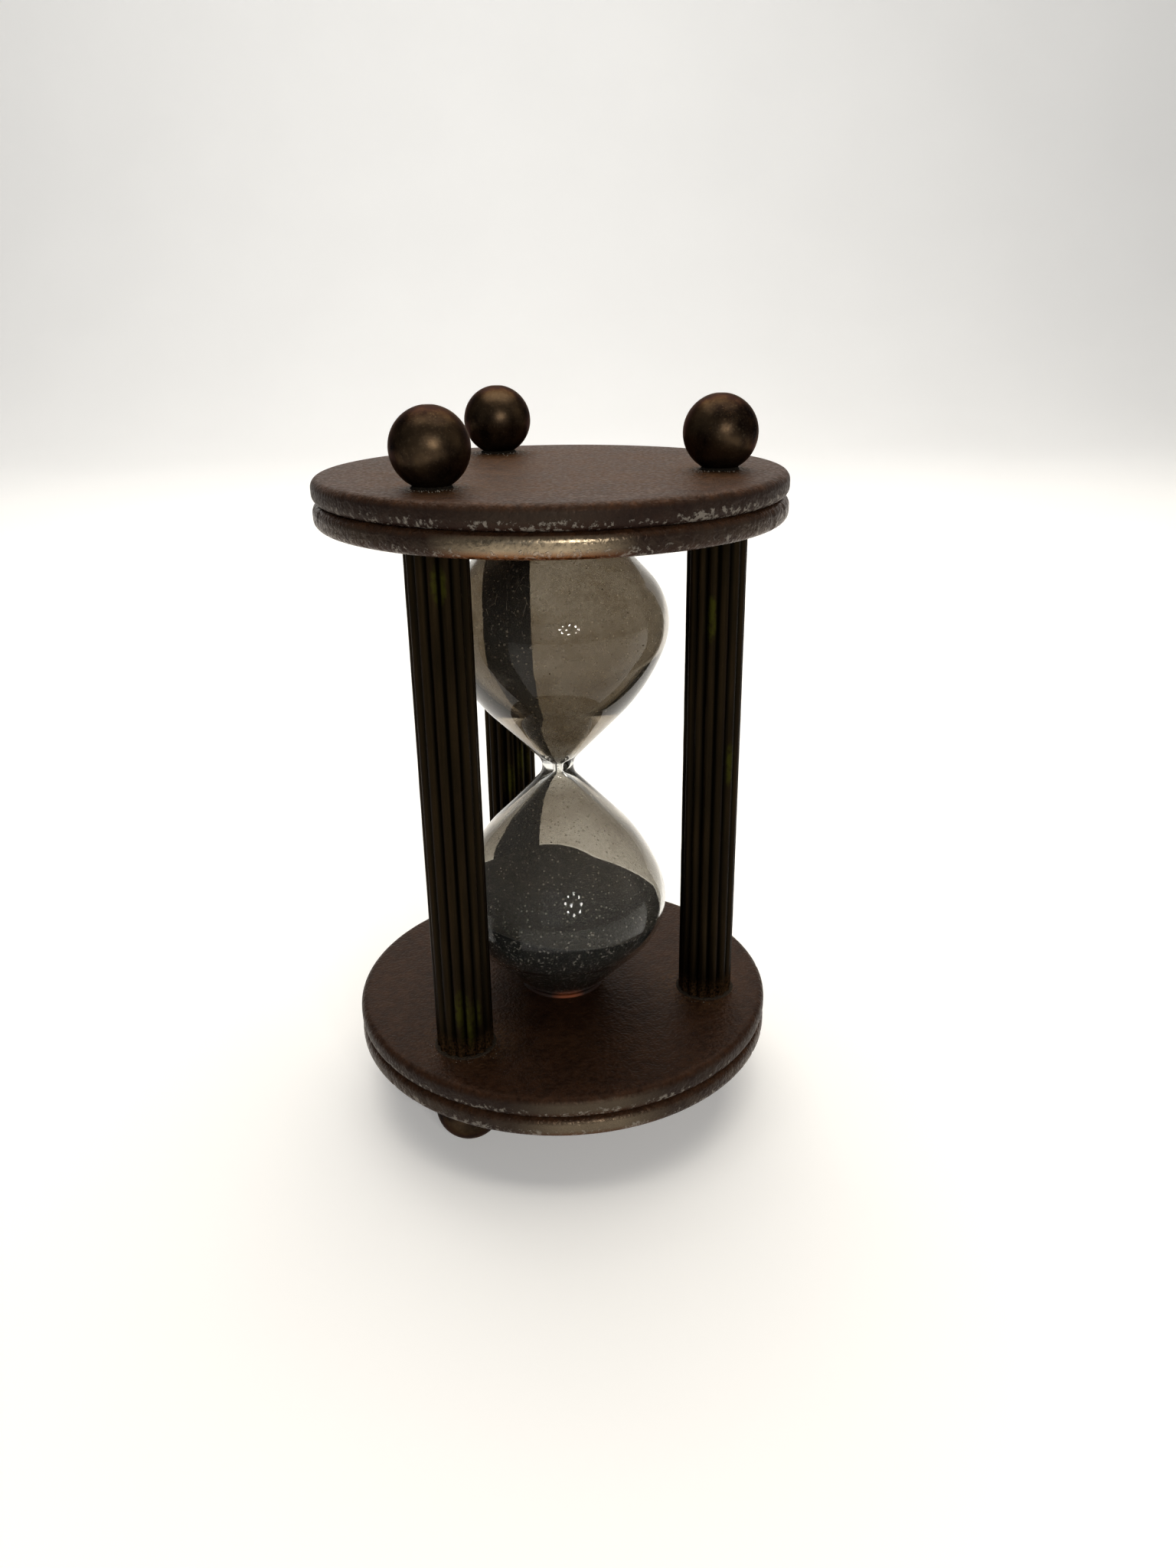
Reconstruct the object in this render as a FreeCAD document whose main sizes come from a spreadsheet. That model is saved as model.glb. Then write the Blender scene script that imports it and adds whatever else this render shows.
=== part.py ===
"""Hourglass in a brass and bronzed-metal stand.

Two plates at each end hold three reeded columns.  A rod runs through each column and through all
four plates, and screws into a ball at both ends: a foot below and a finial above.  The glass is one
sealed vessel with two bulbs, which sits between two leather seats let into the inner plates.

The origin is the point on the floor below the middle of the glass, +Z is up, and -Y is the front.
"""
import FreeCAD, Part
import math
import os
import Sketcher
from FreeCAD import Placement, Rotation, Vector

DIMENSIONS = (
    ("plate_diameter", 127.0, "both plates at each end"),
    ("plate_thickness", 6.35, "each plate"),
    ("plate_edge_radius", 2.4, "rounding of every plate rim"),
    ("column_circle_radius", 45.0, "from the middle of the glass to each column"),
    ("column_length", 145.0, "between the inner plates"),
    ("reed_count", 14.0, "reeds round a column"),
    ("reed_radius", 1.75, "rounding of one reed"),
    ("reed_circle_radius", 6.05, "from the column's axis to the centre of a reed's rounding"),
    ("reed_phase", 8.0, "turn of each column, in degrees from pointing outwards"),
    ("tube_core_radius", 6.6, "tube under the reeds"),
    ("tube_bore_radius", 5.6, "inside of the tube"),
    ("rod_radius", 2.5, "tie rod, over its thread"),
    ("rod_hole_radius", 2.65, "clearance holes in the plates"),
    ("rod_engagement", 9.5, "thread held in each ball"),
    ("rod_chamfer", 0.6, "ends of a tie rod"),
    ("bush_length", 8.0, "ring that centres a rod in a column's end"),
    ("ball_radius", 9.85, "feet and finials"),
    ("ball_seat_cut", 0.5, "turned off the ball where it meets the plate"),
    ("ball_wear_cut", 0.12, "worn off the ball's far side"),
    ("tapped_depth", 10.5, "threaded hole in a ball"),
    ("belly_radius", 32.25, "outside of a bulb at its widest"),
    ("belly_height", 43.2, "from the neck's middle to the widest place"),
    ("belly_rounding", 19.0, "outline round the widest place, and round the bulb's end"),
    ("shoulder_rounding", 56.0, "outline between the flank and the widest place"),
    ("flank_angle", 43.5, "slope of both flanks of a bulb, in degrees from the axis"),
    ("neck_radius", 4.6, "outside of the neck"),
    ("neck_rounding", 5.0, "outline of the neck"),
    ("neck_bore_radius", 1.0, "passage for the sand"),
    ("neck_bore_length", 1.2, "straight part of the passage on each side of the middle"),
    ("funnel_rounding", 2.0, "inside outline between the passage and the flank"),
    ("glass_wall", 1.0, "thickness at the bulbs' widest place"),
    ("sand_level", 42.7, "from the neck's middle down to the sand, on the axis"),
    ("sand_slope", 7.7, "tilt of the sand, in degrees"),
    ("sand_heading", -46.0, "direction in which the sand slopes down, in degrees from +X"),
    ("sand_clearance", 0.05, "between the sand and the glass"),
    ("seat_radius", 12.9, "leather seats, and the holes that they fill"),
    ("seat_hole_radius", 4.0, "relief under the glass's sealed end"),
    ("seat_lip", 0.6, "height of a seat above its plate"),
)
SHEET = "Dimensions"
COLUMN_AZIMUTHS = (("back", 90.0), ("front_left", 210.0), ("front_right", 330.0))
# Heights above the floor, as expressions of the sheet's sizes.
BALL_HEIGHT = "(2 * <ball_radius> - <ball_seat_cut> - <ball_wear_cut>)"
LOWER_FACE = f"({BALL_HEIGHT} + 2 * <plate_thickness>)"
UPPER_FACE = f"({LOWER_FACE} + <column_length>)"
NECK_HEIGHT = f"({LOWER_FACE} + <column_length> / 2)"
UPSIDE_DOWN = Rotation(Vector(1, 0, 0), 180)
# How a sketch names its origin, its two axes and the points of an edge.
ORIGIN = (-1, 1)
LEVEL_AXIS = -1
UPRIGHT_AXIS = -2
START, END, MIDDLE = 1, 2, 3


document = FreeCAD.newDocument("hourglass")


def make_sheet():
    """Put the driving dimensions in a spreadsheet, one row each."""
    sheet = document.addObject("Spreadsheet::Sheet", SHEET)
    for row, (alias, value, meaning) in enumerate(DIMENSIONS, start=1):
        sheet.set(f"A{row}", alias)
        sheet.set(f"B{row}", str(value))
        sheet.set(f"C{row}", meaning)
        sheet.setAlias(f"B{row}", alias)
    document.recompute()
    return sheet


dims = make_sheet()


def bind(thing, prop, expression):
    """Tie a property to the sheet, whose sizes stand in angle brackets in the expression."""
    thing.setExpression(prop, expression.replace("<", f"{SHEET}.").replace(">", ""))


def new_body(name):
    body = document.addObject("PartDesign::Body", name)
    body.Label = name
    return body


def origin_feature(body, role):
    """One of the body's own origin planes or axes."""
    return next(feature for feature in body.Origin.OriginFeatures if feature.Role == role)


def new_sketch(body, plane, name):
    """Start a sketch on one of the body's own origin planes."""
    sketch = body.newObject("Sketcher::SketchObject", name)
    sketch.AttachmentSupport = [(origin_feature(body, plane), "")]
    sketch.MapMode = "FlatFace"
    return sketch


def fix(sketch, *constraint):
    return sketch.addConstraint(Sketcher.Constraint(*constraint))


def size(sketch, name, expression, *constraint):
    """Add one named size to a sketch and tie it to the sheet."""
    sketch.renameConstraint(fix(sketch, *constraint), name)
    bind(sketch, f"Constraints.{name}", expression)


def circle(sketch, name, radius, x=0.0, x_size=None):
    """Draw a circle on the sketch's X axis, its middle at the origin unless x_size is given."""
    edge = sketch.addGeometry(Part.Circle(Vector(x, 0, 0), Vector(0, 0, 1), 1.0), False)
    size(sketch, f"{name}_radius", radius, "Radius", edge, 1.0)
    if x_size is None:
        fix(sketch, "Coincident", edge, MIDDLE, *ORIGIN)
    else:
        fix(sketch, "PointOnObject", edge, MIDDLE, LEVEL_AXIS)
        size(sketch, f"{name}_reach", x_size, "DistanceX", *ORIGIN, edge, MIDDLE, x)


def pad(body, sketch, name, length):
    feature = body.newObject("PartDesign::Pad", name)
    feature.Profile = sketch
    bind(feature, "Length", length)
    return feature


def cut(body, sketch, name, length=None):
    """Pocket a sketch upwards, to a length or through the whole body, and see that it cut."""
    document.recompute()
    before = body.Shape.Volume
    feature = body.newObject("PartDesign::Pocket", name)
    feature.Profile = sketch
    feature.Reversed = True
    if length is None:
        feature.Type = "ThroughAll"
    else:
        bind(feature, "Length", length)
    document.recompute()
    if body.Shape.Volume >= before:
        raise RuntimeError(f"{body.Label}: {name} cut nothing")
    return feature


def repeat(body, feature, name, count):
    """Repeat a feature round the body's Z axis."""
    pattern = body.newObject("PartDesign::PolarPattern", name)
    pattern.Originals = [feature]
    pattern.Axis = (origin_feature(body, "Z_Axis"), [""])
    pattern.Angle = 360.0
    bind(pattern, "Occurrences", count)
    body.Tip = pattern
    return pattern


def revolve(body, sketch, name, kind="PartDesign::Revolution"):
    feature = body.newObject(kind, name)
    feature.Profile = sketch
    feature.ReferenceAxis = (sketch, ["V_Axis"])
    feature.Angle = 360.0
    return feature


def set_height(thing, expression):
    bind(thing, ".Placement.Base.z", expression)


def set_on_column(thing, azimuth, height, turn=0.0, flipped=False):
    """Place a piece on a column's axis, turned about it, and upside down if it is flipped."""
    upright = Rotation(Vector(0, 0, 1), azimuth + turn)
    thing.Placement = Placement(Vector(0, 0, 0), upright * UPSIDE_DOWN if flipped else upright)
    bind(thing, ".Placement.Base.x", f"<column_circle_radius> * cos({azimuth} deg)")
    bind(thing, ".Placement.Base.y", f"<column_circle_radius> * sin({azimuth} deg)")
    set_height(thing, height)


def make_plate(name, height, has_seat):
    """A round plate with rounded rims and three rod holes, and a hole for the seat if it has one."""
    body = new_body(name)
    disc = new_sketch(body, "XY_Plane", f"{name}_outline")
    circle(disc, "plate", "<plate_diameter> / 2")
    solid = pad(body, disc, f"{name}_disc", "<plate_thickness>")
    document.recompute()
    rims = [f"Edge{i}" for i, edge in enumerate(solid.Shape.Edges, start=1) if edge.isClosed()]
    rounding = body.newObject("PartDesign::Fillet", f"{name}_rims")
    rounding.Base = (solid, rims)
    bind(rounding, "Radius", "<plate_edge_radius>")
    if has_seat:
        opening = new_sketch(body, "XY_Plane", f"{name}_seat_outline")
        circle(opening, "seat", "<seat_radius>")
        cut(body, opening, f"{name}_seat_hole")
    bolt = new_sketch(body, "XY_Plane", f"{name}_rod_outline")
    circle(bolt, "rod", "<rod_hole_radius>", x=dims.column_circle_radius, x_size="<column_circle_radius>")
    hole = cut(body, bolt, f"{name}_rod_hole")
    repeat(body, hole, f"{name}_rod_holes", str(len(COLUMN_AZIMUTHS)))
    body.Placement = Placement(Vector(0, 0, 0), Rotation(Vector(0, 0, 1), COLUMN_AZIMUTHS[0][1]))
    set_height(body, height)
    return body


def make_column(place, azimuth):
    """A drawn tube whose outside is a ring of half-round reeds, cut off square."""
    name = f"column_{place}"
    body = new_body(name)
    core = new_sketch(body, "XY_Plane", f"{name}_core_outline")
    circle(core, "core", "<tube_core_radius>")
    pad(body, core, f"{name}_core", "<column_length>")
    reed = new_sketch(body, "XY_Plane", f"{name}_reed_outline")
    circle(reed, "reed", "<reed_radius>", x=dims.reed_circle_radius, x_size="<reed_circle_radius>")
    one_reed = pad(body, reed, f"{name}_reed", "<column_length>")
    repeat(body, one_reed, f"{name}_reeds", "<reed_count>")
    bore = new_sketch(body, "XY_Plane", f"{name}_bore_outline")
    circle(bore, "bore", "<tube_bore_radius>")
    cut(body, bore, f"{name}_bore")
    set_on_column(body, azimuth, LOWER_FACE, turn=dims.reed_phase)
    return body


def make_rod(place, azimuth):
    """A threaded rod through the column and the four plates; its thread is left plain."""
    name = f"tie_rod_{place}"
    body = new_body(name)
    outline = new_sketch(body, "XY_Plane", f"{name}_outline")
    circle(outline, "rod", "<rod_radius>")
    length = "<column_length> + 4 * <plate_thickness> + 2 * <rod_engagement>"
    stock = pad(body, outline, f"{name}_stock", length)
    document.recompute()
    ends = [f"Edge{i}" for i, edge in enumerate(stock.Shape.Edges, start=1) if edge.isClosed()]
    chamfer = body.newObject("PartDesign::Chamfer", f"{name}_ends")
    chamfer.Base = (stock, ends)
    bind(chamfer, "Size", "<rod_chamfer>")
    set_on_column(body, azimuth, f"{BALL_HEIGHT} - <rod_engagement>")
    return body


def make_bush(name, azimuth, height):
    """A ring that keeps a rod in the middle of a column's end."""
    ring = document.addObject("Part::Cylinder", f"{name}_ring")
    bind(ring, "Radius", "<tube_bore_radius>")
    bind(ring, "Height", "<bush_length>")
    hole = document.addObject("Part::Cylinder", f"{name}_hole")
    bind(hole, "Radius", "<rod_radius>")
    bind(hole, "Height", "<bush_length>")
    bush = document.addObject("Part::Cut", name)
    bush.Base = ring
    bush.Tool = hole
    bush.Label = name
    set_on_column(bush, azimuth, height)
    return bush


def make_ball(name, azimuth, height, flipped):
    """A turned ball with a flat seat, a small worn flat opposite, and a tapped hole in its seat."""
    body = new_body(name)
    outline = new_sketch(body, "XZ_Plane", f"{name}_outline")
    radius = dims.ball_radius
    centre = radius - dims.ball_seat_cut
    top = centre + radius - dims.ball_wear_cut
    seat = (radius ** 2 - centre ** 2) ** 0.5
    worn = (radius ** 2 - (top - centre) ** 2) ** 0.5
    round_side = Part.ArcOfCircle(Part.Circle(Vector(0, centre, 0), Vector(0, 0, 1), radius),
                                  -math.acos(seat / radius), math.acos(worn / radius))
    geometry = [
        Part.LineSegment(Vector(0, 0, 0), Vector(seat, 0, 0)),
        round_side,
        Part.LineSegment(Vector(worn, top, 0), Vector(0, top, 0)),
        Part.LineSegment(Vector(0, top, 0), Vector(0, 0, 0)),
    ]
    outline.addGeometry(geometry, False)
    face, side, far_face, axis = range(4)
    for before, after in ((face, side), (side, far_face), (far_face, axis), (axis, face)):
        fix(outline, "Coincident", before, END, after, START)
    for kind, edge in (("Horizontal", face), ("Horizontal", far_face), ("Vertical", axis)):
        fix(outline, kind, edge)
    fix(outline, "Coincident", face, START, *ORIGIN)
    fix(outline, "PointOnObject", side, MIDDLE, UPRIGHT_AXIS)
    size(outline, "ball", "<ball_radius>", "Radius", side, radius)
    size(outline, "middle", "<ball_radius> - <ball_seat_cut>", "DistanceY", *ORIGIN, side, MIDDLE, centre)
    size(outline, "far_flat", BALL_HEIGHT, "DistanceY", axis, END, axis, START, top)
    revolve(body, outline, f"{name}_turned")
    drill = new_sketch(body, "XY_Plane", f"{name}_tapping_outline")
    circle(drill, "thread", "<rod_radius>")
    cut(body, drill, f"{name}_tapped_hole", "<tapped_depth>")
    set_on_column(body, azimuth, height, flipped=flipped)
    return body


def bulb_outline(sketch, inset, inset_size, with_passage):
    """Draw half of a vessel's outline, from the neck's middle to one end, inset from the outside.

    It runs out from the axis, round the neck, up the flank, round the shoulder and the widest place,
    in along the far flank and round the end.  The inside also has the sand's straight passage.
    """
    slope = math.radians(dims.flank_angle)
    across, along = math.sin(slope), math.cos(slope)
    belly_rounding = dims.belly_rounding - inset
    shoulder_rounding = dims.shoulder_rounding - inset
    mouth = dims.neck_bore_radius if with_passage else dims.neck_radius
    rise = dims.neck_bore_length if with_passage else 0.0
    neck_rounding = dims.funnel_rounding if with_passage else dims.neck_rounding

    neck_middle = Vector(mouth + neck_rounding, rise, 0)
    flank_start = neck_middle + Vector(-along, across, 0) * neck_rounding
    belly_middle = Vector(dims.belly_radius - dims.belly_rounding, dims.belly_height, 0)
    outwards = Vector(along, -across, 0)
    offset = (belly_middle - flank_start).dot(outwards) + shoulder_rounding
    blend = slope - math.acos(offset / (shoulder_rounding - belly_rounding))
    to_shoulder = Vector(-math.cos(blend), math.sin(blend), 0)
    shoulder_middle = belly_middle + to_shoulder * (shoulder_rounding - belly_rounding)
    flank_end = shoulder_middle + outwards * shoulder_rounding
    far_start = belly_middle + Vector(along, across, 0) * belly_rounding
    cap_middle = Vector(0, belly_middle.y + belly_middle.x * along / across, 0)
    far_end = cap_middle + Vector(along, across, 0) * belly_rounding
    end = cap_middle + Vector(0, belly_rounding, 0)

    def arc(middle, radius, first, last):
        return Part.ArcOfCircle(Part.Circle(middle, Vector(0, 0, 1), radius), first, last)

    def line(start, stop):
        return Part.LineSegment(start, stop)

    origin = Vector(0, 0, 0)
    passage_start = Vector(mouth, 0, 0)
    edges = [
        line(origin, passage_start),
        arc(neck_middle, neck_rounding, math.pi - slope, math.pi),
        line(flank_start, flank_end),
        arc(shoulder_middle, shoulder_rounding, -slope, -blend),
        arc(belly_middle, belly_rounding, -blend, slope),
        line(far_start, far_end),
        arc(cap_middle, belly_rounding, slope, math.pi / 2),
        line(end, origin),
    ]
    if with_passage:
        edges.append(line(passage_start, passage_start + Vector(0, rise, 0)))
    floor, neck, flank, shoulder, belly, far_flank, cap, axis, passage = range(9)
    sketch.addGeometry(edges, False)

    fix(sketch, "Coincident", floor, START, *ORIGIN)
    fix(sketch, "Horizontal", floor)
    fix(sketch, "Vertical", axis)
    fix(sketch, "Coincident", axis, END, floor, START)
    fix(sketch, "Tangent", neck, START, flank, START)
    for before, after in ((flank, shoulder), (shoulder, belly), (belly, far_flank), (far_flank, cap)):
        fix(sketch, "Tangent", before, END, after, START)
    fix(sketch, "Coincident", cap, END, axis, START)
    fix(sketch, "PointOnObject", cap, MIDDLE, UPRIGHT_AXIS)
    if with_passage:
        fix(sketch, "Coincident", floor, END, passage, START)
        fix(sketch, "Vertical", passage)
        fix(sketch, "Tangent", passage, END, neck, END)
        size(sketch, "passage", "<neck_bore_length>", "DistanceY", passage, START, passage, END, rise)
    else:
        fix(sketch, "Coincident", floor, END, neck, END)
        fix(sketch, "PointOnObject", neck, MIDDLE, LEVEL_AXIS)
    mouth_size = "<neck_bore_radius>" if with_passage else "<neck_radius>"
    neck_size = "<funnel_rounding>" if with_passage else "<neck_rounding>"
    size(sketch, "mouth", mouth_size, "DistanceX", floor, START, floor, END, mouth)
    size(sketch, "neck", neck_size, "Radius", neck, neck_rounding)
    size(sketch, "flank", "(90 - <flank_angle>) * 1 deg", "Angle", flank, math.pi / 2 - slope)
    size(sketch, "far_flank", "(90 + <flank_angle>) * 1 deg", "Angle", far_flank, math.pi / 2 + slope)
    size(sketch, "shoulder", f"<shoulder_rounding> - {inset_size}", "Radius", shoulder, shoulder_rounding)
    size(sketch, "belly", f"<belly_rounding> - {inset_size}", "Radius", belly, belly_rounding)
    size(sketch, "cap", f"<belly_rounding> - {inset_size}", "Radius", cap, belly_rounding)
    size(sketch, "belly_reach", "<belly_radius> - <belly_rounding>",
         "DistanceX", *ORIGIN, belly, MIDDLE, belly_middle.x)
    size(sketch, "belly_height", "<belly_height>", "DistanceY", *ORIGIN, belly, MIDDLE, belly_middle.y)


def make_glass():
    """One sealed vessel: two bulbs, hollow, joined by a thick neck with a fine passage."""
    body = new_body("glass_vessel")
    outside = new_sketch(body, "XZ_Plane", "bulb_outside")
    bulb_outline(outside, 0.0, "0", with_passage=False)
    bulb = revolve(body, outside, "bulb")
    document.recompute()
    solid_volume = body.Shape.Volume
    inside = new_sketch(body, "XZ_Plane", "bulb_inside")
    bulb_outline(inside, dims.glass_wall, "<glass_wall>", with_passage=True)
    cavity = revolve(body, inside, "bulb_cavity", kind="PartDesign::Groove")
    document.recompute()
    if body.Shape.Volume > solid_volume / 2:
        raise RuntimeError("glass_vessel: the cavity cut too little")
    pair = body.newObject("PartDesign::Mirrored", "second_bulb")
    pair.Originals = [bulb, cavity]
    pair.MirrorPlane = (origin_feature(body, "XY_Plane"), [""])
    body.Tip = pair
    set_height(body, NECK_HEIGHT)
    return body


def make_sand():
    """The sand at rest in the lower bulb, up to the widest place, its surface a little tilted.

    Its body is drawn upside down, so that the distance along the axis is measured down from the neck.
    """
    body = new_body("sand")
    outline = new_sketch(body, "XZ_Plane", "sand_outline")
    inset = dims.glass_wall + dims.sand_clearance
    bulb_outline(outline, inset, "(<glass_wall> + <sand_clearance>)", with_passage=True)
    revolve(body, outline, "full_bulb")
    document.recompute()
    full_volume = body.Shape.Volume
    level = new_sketch(body, "XZ_Plane", "sand_surface")
    slope = math.radians(dims.sand_slope)
    reach = dims.belly_radius
    rise = reach * math.tan(slope)
    low = Vector(-reach, dims.sand_level - rise, 0)
    high = Vector(reach, dims.sand_level + rise, 0)
    corners = (low, high, Vector(reach, -reach, 0), Vector(-reach, -reach, 0))
    sides = [Part.LineSegment(a, b) for a, b in zip(corners, corners[1:] + corners[:1])]
    level.addGeometry(sides, False)
    surface, right, bottom, left = range(4)
    for before, after in ((surface, right), (right, bottom), (bottom, left), (left, surface)):
        fix(level, "Coincident", before, END, after, START)
    fix(level, "Vertical", right)
    fix(level, "Vertical", left)
    fix(level, "Symmetric", bottom, START, bottom, END, UPRIGHT_AXIS)
    size(level, "width", "2 * <belly_radius>", "DistanceX", bottom, END, bottom, START, 2 * reach)
    size(level, "depth", "<belly_radius>", "DistanceY", bottom, START, *ORIGIN, reach)
    size(level, "slope", "<sand_slope> * 1 deg", "Angle", surface, slope)
    size(level, "level", "<sand_level> - <belly_radius> * tan(<sand_slope> * 1 deg)",
         "DistanceY", *ORIGIN, surface, START, low.y)
    empty_part = body.newObject("PartDesign::Pocket", "empty_part")
    empty_part.Profile = level
    empty_part.Type = "ThroughAll"
    empty_part.SideType = "Symmetric"
    document.recompute()
    if body.Shape.Volume > 0.7 * full_volume:
        raise RuntimeError("sand: the empty part of the bulb wasn't cut away")
    body.Placement = Placement(Vector(0, 0, 0), Rotation(Vector(0, 0, 1), dims.sand_heading) * UPSIDE_DOWN)
    set_height(body, NECK_HEIGHT)
    return body


def make_seat(name, height, flipped):
    """A leather ring in the inner plate, hollowed to the round end of the glass, with a low lip."""
    body = new_body(name)
    outline = new_sketch(body, "XZ_Plane", f"{name}_outline")
    slope = math.radians(dims.flank_angle)
    rounding = dims.belly_rounding
    glass_end = dims.belly_height + (dims.belly_radius - rounding) / math.tan(slope)
    middle = dims.column_length / 2 + dims.plate_thickness - glass_end
    top = dims.plate_thickness + dims.seat_lip
    lip = math.sqrt(rounding ** 2 - (middle - top) ** 2)
    hole = dims.seat_hole_radius
    hole_top = middle - math.sqrt(rounding ** 2 - hole ** 2)
    hollow = Part.Circle(Vector(0, middle, 0), Vector(0, 0, 1), rounding)
    hollow_angles = (math.atan2(hole_top - middle, hole), math.atan2(top - middle, lip))
    edges = [
        Part.LineSegment(Vector(hole, 0, 0), Vector(dims.seat_radius, 0, 0)),
        Part.LineSegment(Vector(dims.seat_radius, 0, 0), Vector(dims.seat_radius, top, 0)),
        Part.LineSegment(Vector(dims.seat_radius, top, 0), Vector(lip, top, 0)),
        Part.ArcOfCircle(hollow, *hollow_angles),
        Part.LineSegment(Vector(hole, hole_top, 0), Vector(hole, 0, 0)),
    ]
    outline.addGeometry(edges, False)
    base, side, rim, bowl, wall = range(5)
    fix(outline, "Coincident", base, END, side, START)
    fix(outline, "Coincident", side, END, rim, START)
    fix(outline, "Coincident", rim, END, bowl, END)
    fix(outline, "Coincident", bowl, START, wall, START)
    fix(outline, "Coincident", wall, END, base, START)
    for edge in (base, rim):
        fix(outline, "Horizontal", edge)
    for edge in (side, wall):
        fix(outline, "Vertical", edge)
    fix(outline, "PointOnObject", base, START, LEVEL_AXIS)
    fix(outline, "PointOnObject", bowl, MIDDLE, UPRIGHT_AXIS)
    size(outline, "hole", "<seat_hole_radius>", "DistanceX", *ORIGIN, base, START, hole)
    size(outline, "outside", "<seat_radius>", "DistanceX", *ORIGIN, base, END, dims.seat_radius)
    size(outline, "top", "<plate_thickness> + <seat_lip>", "DistanceY", side, START, side, END, top)
    size(outline, "bowl", "<belly_rounding>", "Radius", bowl, rounding)
    size(outline, "bowl_middle",
         "<column_length> / 2 + <plate_thickness> - <belly_height>"
         " - (<belly_radius> - <belly_rounding>) / tan(<flank_angle> * 1 deg)",
         "DistanceY", *ORIGIN, bowl, MIDDLE, middle)
    revolve(body, outline, f"{name}_ring")
    if flipped:
        body.Placement = Placement(Vector(0, 0, 0), UPSIDE_DOWN)
    set_height(body, height)
    return body


def make_parts():
    """Build every piece and return them in order from the floor up."""
    parts = [
        make_plate("bottom_outer_plate", BALL_HEIGHT, has_seat=False),
        make_plate("bottom_inner_plate", f"{BALL_HEIGHT} + <plate_thickness>", has_seat=True),
        make_plate("top_inner_plate", UPPER_FACE, has_seat=True),
        make_plate("top_outer_plate", f"{UPPER_FACE} + <plate_thickness>", has_seat=False),
        make_glass(),
        make_sand(),
        make_seat("lower_seat", f"{BALL_HEIGHT} + <plate_thickness>", flipped=False),
        make_seat("upper_seat", f"{UPPER_FACE} + <plate_thickness>", flipped=True),
    ]
    for place, azimuth in COLUMN_AZIMUTHS:
        parts += [
            make_column(place, azimuth),
            make_rod(place, azimuth),
            make_bush(f"lower_bush_{place}", azimuth, LOWER_FACE),
            make_bush(f"upper_bush_{place}", azimuth, f"{UPPER_FACE} - <bush_length>"),
            make_ball(f"foot_{place}", azimuth, BALL_HEIGHT, flipped=True),
            make_ball(f"finial_{place}", azimuth, f"{UPPER_FACE} + 2 * <plate_thickness>", flipped=False),
        ]
    return parts


def check_document():
    """Stop if any object failed to build."""
    document.recompute()
    for thing in document.Objects:
        if {"Invalid", "Error"} & set(thing.State):
            raise RuntimeError(f"{thing.Label} failed: {thing.State}")


def write_parts(parts):
    """Write each piece's shape to its own STEP file, named after it."""
    os.makedirs("parts", exist_ok=True)
    for part in parts:
        shape = part.Shape
        if shape.isNull() or not shape.isValid():
            raise RuntimeError(f"{part.Label} has no valid shape")
        shape.exportStep(f"parts/{part.Label}.step")
        box = shape.BoundBox
        print(f"{part.Label:22s} {len(shape.Solids)} solid  {shape.Volume:10.1f} mm3  "
              f"z {box.ZMin:7.2f} to {box.ZMax:7.2f}")


pieces = make_parts()
check_document()
write_parts(pieces)
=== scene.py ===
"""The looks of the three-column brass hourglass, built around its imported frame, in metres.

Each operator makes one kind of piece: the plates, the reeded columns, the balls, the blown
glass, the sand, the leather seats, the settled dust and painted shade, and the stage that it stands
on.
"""

import math
import random

import bmesh
import bpy
from bpy.props import FloatProperty, FloatVectorProperty, IntProperty, PointerProperty
from bpy.types import Operator, Panel, PropertyGroup
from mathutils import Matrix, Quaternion, Vector


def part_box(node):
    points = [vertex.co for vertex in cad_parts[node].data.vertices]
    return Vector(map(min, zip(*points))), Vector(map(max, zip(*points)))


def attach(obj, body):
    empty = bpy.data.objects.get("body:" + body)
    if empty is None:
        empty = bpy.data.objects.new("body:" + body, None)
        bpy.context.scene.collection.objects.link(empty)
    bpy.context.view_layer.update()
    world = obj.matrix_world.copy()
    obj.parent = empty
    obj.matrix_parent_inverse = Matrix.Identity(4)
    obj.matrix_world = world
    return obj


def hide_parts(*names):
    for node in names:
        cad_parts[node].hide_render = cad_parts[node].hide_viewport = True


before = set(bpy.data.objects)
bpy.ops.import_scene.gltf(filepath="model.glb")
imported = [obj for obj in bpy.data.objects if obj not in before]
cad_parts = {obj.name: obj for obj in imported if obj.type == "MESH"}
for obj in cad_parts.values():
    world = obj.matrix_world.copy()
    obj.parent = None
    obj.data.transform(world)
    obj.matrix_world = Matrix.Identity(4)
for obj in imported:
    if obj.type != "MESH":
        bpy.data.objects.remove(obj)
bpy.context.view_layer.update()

bl_info = {
    "name": "Three-Column Hourglass",
    "version": (1, 0, 0),
    "blender": (4, 5, 0),
    "location": "View3D > Sidebar > Hourglass",
    "description": "Makes the plates, columns, balls, glass, sand and stage of an hourglass",
    "category": "Add Mesh",
}

MM = 0.001
FINE = 0.001 * MM  # nearer than this, points are the same
PLACES = ("back", "front_left", "front_right")
# a painted patch of light on the lower seat's front, and the scratched side of the upper bulb
LEATHER_LIGHT_SPOT = Vector((-3.1, -12.6, 32.4)) * MM
HAIR_SCRATCHES = Vector((-19.4, -20.6, 159.0)) * MM
# where the rims are rubbed brightest, in plan: partly wear, partly a painted highlight
LEFT_RUB_HIGHLIGHT = Vector((-26.8, -57.5, 0.0)) * MM
RIGHT_RUB_HIGHLIGHT = Vector((-15.4, -61.6, 0.0)) * MM
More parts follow.
